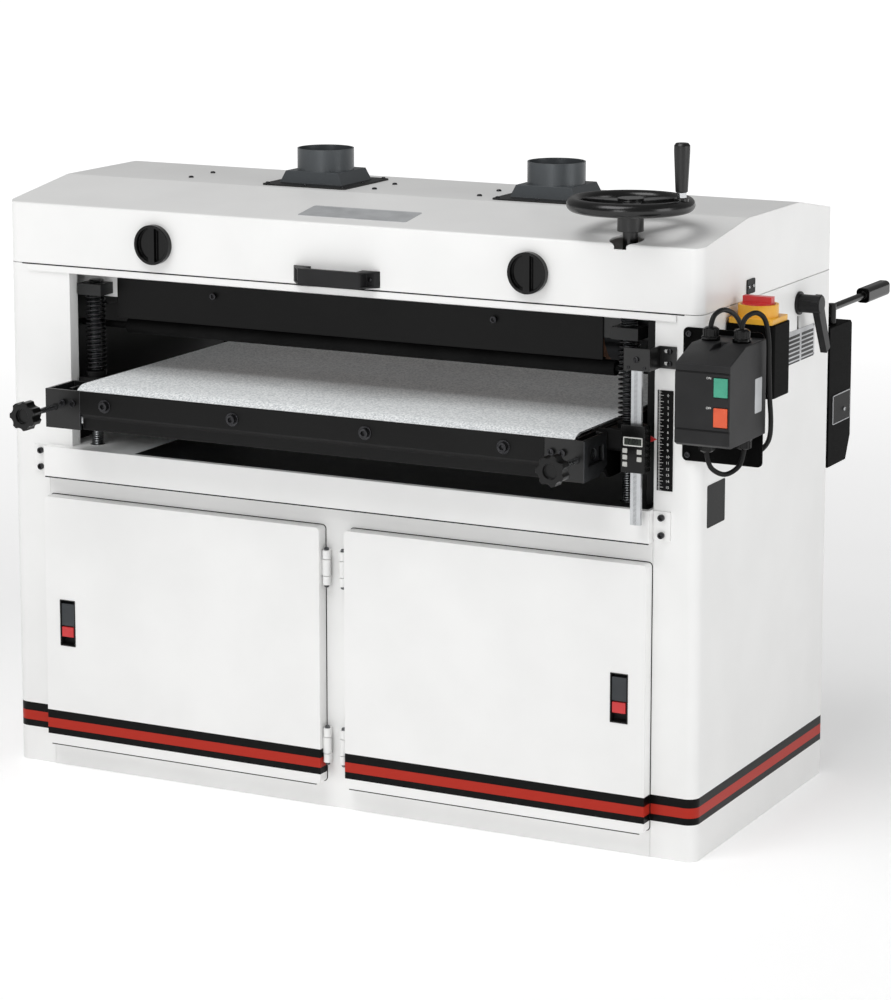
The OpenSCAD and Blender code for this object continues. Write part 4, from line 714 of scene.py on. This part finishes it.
# The data plate is ruled with two columns of dark empty fields, 7.5 mm apart.
row_pitch, row_gap, rows_foot, rows_top = 7.5, 1.3, 769, 815
column_pitch, column_gap, columns_start = 64, 4, 79
ruled_plate = surface("ruled_aluminium", "#b9babc", "#c9cacc", roughness=0.42, grain=0.5,
                      depth=0.01, patch=30, metallic=0.4)
spot = add(ruled_plate, "SeparateXYZ", {0: add(ruled_plate, "TexCoord").outputs["Object"]})
rise = add(ruled_plate, "Math", {0: spot.outputs["Z"], 1: rows_foot * mm}, operation="SUBTRACT")
row = add(ruled_plate, "Math", {0: rise, 1: row_pitch / 2 * mm}, operation="PINGPONG")
bar = add(ruled_plate, "Math", {0: row, 1: row_gap * mm}, operation="GREATER_THAN")
run = add(ruled_plate, "Math", {0: spot.outputs["Y"], 1: columns_start * mm}, operation="SUBTRACT")
column = add(ruled_plate, "Math", {0: run, 1: column_pitch / 2 * mm}, operation="PINGPONG")
cell = add(ruled_plate, "Math", {0: column, 1: column_gap * mm}, operation="GREATER_THAN")
box = add(ruled_plate, "Math", {0: bar, 1: cell}, operation="MULTIPLY")
below = add(ruled_plate, "Math", {0: spot.outputs["Z"], 1: rows_top * mm}, operation="LESS_THAN")
dark = add(ruled_plate, "Math", {0: box, 1: below}, operation="MULTIPLY")
overpaint(ruled_plate, dark, linear("#161617"))
# The badge lies on the hood's front slope.
slope_rise, slope_run = 28, 193
on_slope = Matrix.Rotation(math.atan2(slope_rise, slope_run), 4, "X")
panel_x = 660
plate("hood_badge", "hood", (207, 62, 0.8), 4, (8, -226, 1020.65), on_slope, brushed)
plate("data_plate", "cabinet", (129, 56, 0.8), 3, (panel_x, 143, 793), to_right, ruled_plate)
plate("side_plate", "cabinet", (73, 70, 0.8), 3, (panel_x, -222, 588), to_right, black_paint)
plate("switch_label", "cabinet", (28, 55, 0.4), 2, (773, -328, 793), to_right, brushed)
# Cover coat: black, with a pale rim all round, a painted highlight for the light caught along the
# sheet's edges.
cover_y, cover_z = 373, 645
cover_coat_and_highlight = surface("black_coat_with_painted_highlight", "#060606", "#0a0a0a", roughness=0.5, grain=1.4, depth=0.04,
                     specular=0.2)
# The pale rim is a painted highlight along the cover's edges.
rimmed(cover_coat_and_highlight, {"Y": (cover_y, 40.5), "Z": (cover_z, 24.5)}, "#b9babc")
plate("guard_cover", "table", (84, 52, 1.5), 3, (650, cover_y, cover_z), to_right, cover_coat_and_highlight)
drive_screw("guard_cover_screw", "table", (651.2, 385, 640), to_right, 4, bright_steel)
for i, (y, z) in enumerate(((82, 768), (82, 818), (204, 768), (204, 818))):
    drive_screw(f"data_plate_rivet_{i}", "cabinet", (660.7, y, z), to_right, 1.8, bright_steel)
plate("hood_tab", "hood", (34, 24, 2), 3, (panel_x, -88, 925), to_right, black_paint)
for i, y in enumerate((-97, -79)):
    drive_screw(f"hood_tab_screw_{i}", "hood", (661.6, y, 925), to_right, 3, bright_steel)


# Latch bezels
# A moulded charcoal frame round each door latch, snapped into the door's pocket from the front.
# It is a flat ring with its front edges eased; sizes are in millimetres.
def ring(name, body, outline, corner, width, thick, eased, place, material):
    bpy.ops.object.select_all(action="DESELECT")
    bpy.ops.mesh.primitive_plane_add(size=1)
    band = bpy.context.object
    band.scale = (outline[0] * mm, outline[1] * mm, 1)
    bpy.ops.object.transform_apply(scale=True)
    bpy.ops.object.mode_set(mode="EDIT")
    bpy.ops.mesh.select_all(action="SELECT")
    if corner:
        bpy.ops.mesh.bevel(offset=corner * mm, segments=6, affect="VERTICES")
        bpy.ops.mesh.select_all(action="SELECT")
    bpy.ops.mesh.inset(thickness=width * mm, depth=0)
    bpy.ops.mesh.delete(type="FACE")
    bpy.ops.mesh.select_all(action="SELECT")
    bpy.ops.mesh.extrude_region_move(TRANSFORM_OT_translate={"value": (0, 0, thick * mm)})
    bpy.ops.object.mode_set(mode="OBJECT")
    if eased:
        round_edges(band, lambda middle, along: middle.z > 0.9 * thick * mm or abs(along.z) > 0.9,
                    eased * mm, 2)
    bpy.ops.object.mode_set(mode="EDIT")
    bpy.ops.mesh.select_all(action="SELECT")
    bpy.ops.mesh.normals_make_consistent(inside=False)
    bpy.ops.object.mode_set(mode="OBJECT")
    band.data.transform(Matrix.Translation(Vector(place) * mm) @ to_front)
    settle(name, body, material)


for side, x in (("left", -latch_x), ("right", latch_x)):
    ring(f"{side}_latch_bezel", f"{side}_door", outline=(31.6, 83.6), corner=0, width=1.7, thick=1.2,
         eased=0.5, place=(x, -316.8, latch_z), material=charcoal)

# Door seals and their painted shadow
# A strip of black rubber stuck to the cabinet's front round each door's edge, thin enough for the
# door to close on it. Only a hair of it shows outside the door: a thin dark line that stands
# for the shade in the gap round the door, a painted shadow.
for side, x in (("left", -302), ("right", 302)):
    ring(f"{side}_door_shadow_seal", "cabinet", outline=(558.8, 452.8), corner=8.4, width=5, thick=0.25,
         eased=0, place=(x, -292.5, 270), material=roller_rubber)

# Rubber edging, as painted shadow lines
# Strips of black rubber pressed over raw sheet edges: under the front crossbar, under each door
# and on the front rail where the hood closes, each a thin dark line that stands for the shade in
# a seam, a painted shadow. One more stands inside the rear flange on the left, painted shade put
# where that corner lies in shade.
for name, body, length, thick, tall, place in (
        ("crossbar_shadow_line", "cabinet", 1160, 3.2, 2.2, (0, -309, 528.9)),
        ("left_door_shadow_line", "left_door", 540, 3.2, 1.8, (-302, -315.2, 44.1)),
        ("right_door_shadow_line", "right_door", 540, 3.2, 1.8, (302, -315.2, 44.1)),
        ("hood_shadow_line", "cabinet", 1262, 3, 2.4, (0, -291.25, 903.7)),
        ("outfeed_shadow_strip", "cabinet", 47, 2.4, 296, (-576.5, 288.2, 738))):
    bpy.ops.object.select_all(action="DESELECT")
    bpy.ops.mesh.primitive_cube_add(size=1)
    shadow_piece = bpy.context.object
    shadow_piece.scale = (length * mm, thick * mm, tall * mm)
    bpy.ops.object.transform_apply(scale=True)
    round_edges(shadow_piece, lambda middle, along: abs(along.z) < 0.1 and middle.z < 0, 0.7 * mm, 3)
    shadow_piece.data.transform(Matrix.Translation(Vector(place) * mm))
    settle(name, body, roller_rubber)

# Depth scale
# A black plate screwed to the right-hand column, printed in white with a line for each
# millimetre and a plain number for each centimetre between the belt and the drums.
# Printed plate: black, satin, with white lines 1 mm apart, longer at each half and whole
# centimetre.
scale_zero, lines_start = 772, 589
printed_rule = surface("printed_rule", "#070707", "#0b0b0b", roughness=0.4, grain=0.6, depth=0.01,
                       patch=40, specular=0.1)
spot = add(printed_rule, "SeparateXYZ", {0: add(printed_rule, "TexCoord").outputs["Object"]})
rise = add(printed_rule, "Math", {0: spot.outputs["Z"], 1: scale_zero * mm}, operation="SUBTRACT")
ruled = 0.0
for pitch, width, reach in ((1, 0.35, 592), (5, 0.4, 595), (10, 0.6, 598)):
    off = add(printed_rule, "Math", {0: rise, 1: pitch * mm / 2}, operation="PINGPONG")
    line = add(printed_rule, "Math", {0: off, 1: width * mm / 2}, operation="LESS_THAN")
    short = add(printed_rule, "Math", {0: spot.outputs["X"], 1: reach * mm}, operation="LESS_THAN")
    stroke = add(printed_rule, "Math", {0: line, 1: short}, operation="MULTIPLY")
    ruled = add(printed_rule, "Math", {0: ruled, 1: stroke}, operation="MAXIMUM")
inside = add(printed_rule, "Math", {0: spot.outputs["X"], 1: lines_start * mm},
             operation="GREATER_THAN")
inked = add(printed_rule, "Math", {0: ruled, 1: inside}, operation="MULTIPLY")
overpaint(printed_rule, inked, linear("#e6e6e4"))
dress(printed_rule, "depth_scale")

# White ink: screen printed, matt and a little raised.
white_ink = surface("white_ink", "#dcdcda", "#e8e8e6", roughness=0.6, grain=0.4, depth=0.01,
                    patch=10)
ink_thick = 0.05


def lettering(text, height, place, turn):
    bpy.ops.object.select_all(action="DESELECT")
    bpy.ops.object.text_add()
    words = bpy.context.object
    words.data.body = text
    words.data.align_x = words.data.align_y = "CENTER"
    words.data.size = height * 1.4 * mm
    words.data.extrude = ink_thick * mm
    words.data.resolution_u = 3
    bpy.ops.object.convert(target="MESH")
    words = bpy.context.object
    words.data.transform(Matrix.Translation(Vector(place) * mm) @ turn)
    return words


numbers = [lettering(str(n), 4.4, (605.5, -294.5, scale_zero - 10 * n), to_front)
           for n in range(16)]
for number in numbers:
    number.select_set(True)
bpy.ops.object.join()
settle("depth_numbers", "cabinet", white_ink)

# Readout
# A digital readout that slides on an aluminium beam beside the column: a black moulded case with
# a glass window, dark figures and five pale keys. The beam hangs from a black folded bracket.
# Beam: brushed aluminium with an engraved line each 2 mm; its bracket is painted black.
beam_x, line_pitch, line_width, line_half, bracket_foot = 566, 2, 0.3, 3, 815.5
beam_metal = surface("engraved_aluminium", "#b4b6b8", "#c6c8ca", roughness=0.3, grain=0.5,
                     depth=0.01, patch=60, metallic=0.8)
tree = beam_metal.node_tree
spot = add(beam_metal, "SeparateXYZ", {0: add(beam_metal, "TexCoord").outputs["Object"]})
off = add(beam_metal, "Math", {0: spot.outputs["Z"], 1: line_pitch / 2 * mm}, operation="PINGPONG")
line = add(beam_metal, "Math", {0: off, 1: line_width * mm}, operation="LESS_THAN")
middle = add(beam_metal, "Math", {0: spot.outputs["X"], 1: beam_x * mm, 2: line_half * mm},
             operation="COMPARE")
engraved = add(beam_metal, "Math", {0: line, 1: middle}, operation="MULTIPLY")
overpaint(beam_metal, engraved, linear("#4a4b4c"))
bracket = add(beam_metal, "Math", {0: spot.outputs["Z"], 1: bracket_foot * mm},
              operation="GREATER_THAN")
overpaint(beam_metal, bracket, linear("#0e0e0e"))
metal = add(beam_metal, "MapRange", {"Value": bracket, "To Min": 0.8, "To Max": 0.0})
tree.links.new(metal.outputs["Result"], tree.nodes["Principled BSDF"].inputs["Metallic"])
dress(beam_metal, "readout_beam")

# Liquid-crystal glass: smooth, grey green, behind a clear polished face.
window_x, window_z = 567, 702.5
crystal = surface("liquid_crystal_glass", "#333733", "#3c403b", roughness=0.12, grain=1, depth=0.0,
                  patch=20)
rimmed(crystal, {"X": (window_x, 15.1), "Z": (window_z, 5.6)}, "#d4d4d0")
plate("readout_window", "table", (33.6, 14.6, 0.6), 1.5, (window_x, -345.0, window_z), to_front,
      crystal)
lettering("7.00", 8, (window_x, -345.75, window_z), to_front)
settle("readout_figures", "table", black_zinc)
# Keys: moulded grey silicone, matt.
key_rubber = surface("grey_silicone", "#b5b5b1", "#c2c2be", roughness=0.6, grain=0.5, depth=0.02,
                     patch=10)
for i, (x, z) in enumerate(((554, 687.7), (554, 677), (554, 665.5), (579, 687), (579, 675))):
    plate(f"readout_key_{i}", "table", (8, 7.5, 1.2), 1, (x, -346.4, z), to_front, key_rubber)

# Cable glands
# Moulded nylon glands: a six-sided foot screwed into the switch box and a ribbed dome nut that
# grips the cable. Two stand on its top and two hang below it.
nut_sides, nut_r, nut_tall, nut_foot, rib_tall = 24, 11.8 * mm, 12 * mm, 6.5 * mm, 1.2 * mm
foot_r, foot_tall = 15 * mm, 7 * mm
nut = turned_blank(nut_sides, nut_r, nut_tall, nut_foot)
pick(nut, "FACE", lambda middle, normal: abs(normal.z) < 0.1
     and round(math.atan2(middle.y, middle.x) / (2 * math.pi / nut_sides) - 0.5) % 2 == 0)
bpy.ops.mesh.extrude_faces_move(TRANSFORM_OT_shrink_fatten={"value": rib_tall})
bpy.ops.object.mode_set(mode="OBJECT")
pick(nut, "FACE", lambda middle, normal: normal.z > 0.9 and middle.z > 18 * mm
     and (middle.x ** 2 + middle.y ** 2) < (2 * mm) ** 2)
for rise, shrink in ((1.6, 0.88), (1.2, 0.8), (0.4, 0.85)):
    bpy.ops.mesh.extrude_region_move(TRANSFORM_OT_translate={"value": (0, 0, rise * mm)})
    bpy.ops.transform.resize(value=(shrink, shrink, 1))
bpy.ops.object.mode_set(mode="OBJECT")
foot = turned_blank(6, foot_r, foot_tall)
round_edges(foot, lambda middle, along: True, 0.8 * mm, 2)
nut.select_set(True)
bpy.ops.object.join()
bpy.ops.object.shade_smooth_by_angle(angle=smooth_bend)
gland_mesh = bpy.context.object.data
bpy.data.objects.remove(bpy.context.object)
for i, (place, turn) in enumerate((((700, -347.5, 878), up), ((752, -347.5, 878), up),
                                   ((706, -372.5, 726), down), ((750, -328.5, 726), down))):
    mesh = gland_mesh.copy()
    mesh.transform(Matrix.Translation(Vector(place) * mm) @ turn)
    gland = bpy.data.objects.new(f"gland_{i}", mesh)
    bpy.context.scene.collection.objects.link(gland)
    mesh.materials.clear()
    mesh.materials.append(black_plastic)
    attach(gland, "cabinet")

# Switch words and table-bar washers
# The two push buttons are marked with the plain words ON and OFF. Each bolt of the front bar sits
# on a turned washer, plated black like the bolts.
for word, z in (("ON", 836), ("OFF", 789)):
    lettering(word, 3.6, (738, -445.5, z), to_front)
    settle(word.lower() + "_word", "cabinet", white_ink)
washer_r, washer_tall = 12 * mm, 1.8 * mm
for i, x in enumerate((-393.5, -140.5, 112.5, 365.5)):
    washer = turned_blank(28, washer_r, washer_tall)
    round_edges(washer, lambda middle, along: middle.z > 0.95 * washer_tall, 0.6 * mm, 2)
    washer.data.transform(Matrix.Translation(Vector((x, -402.5, 686.2)) * mm) @ to_front)
    settle(f"bar_washer_{i}", "table", black_zinc)
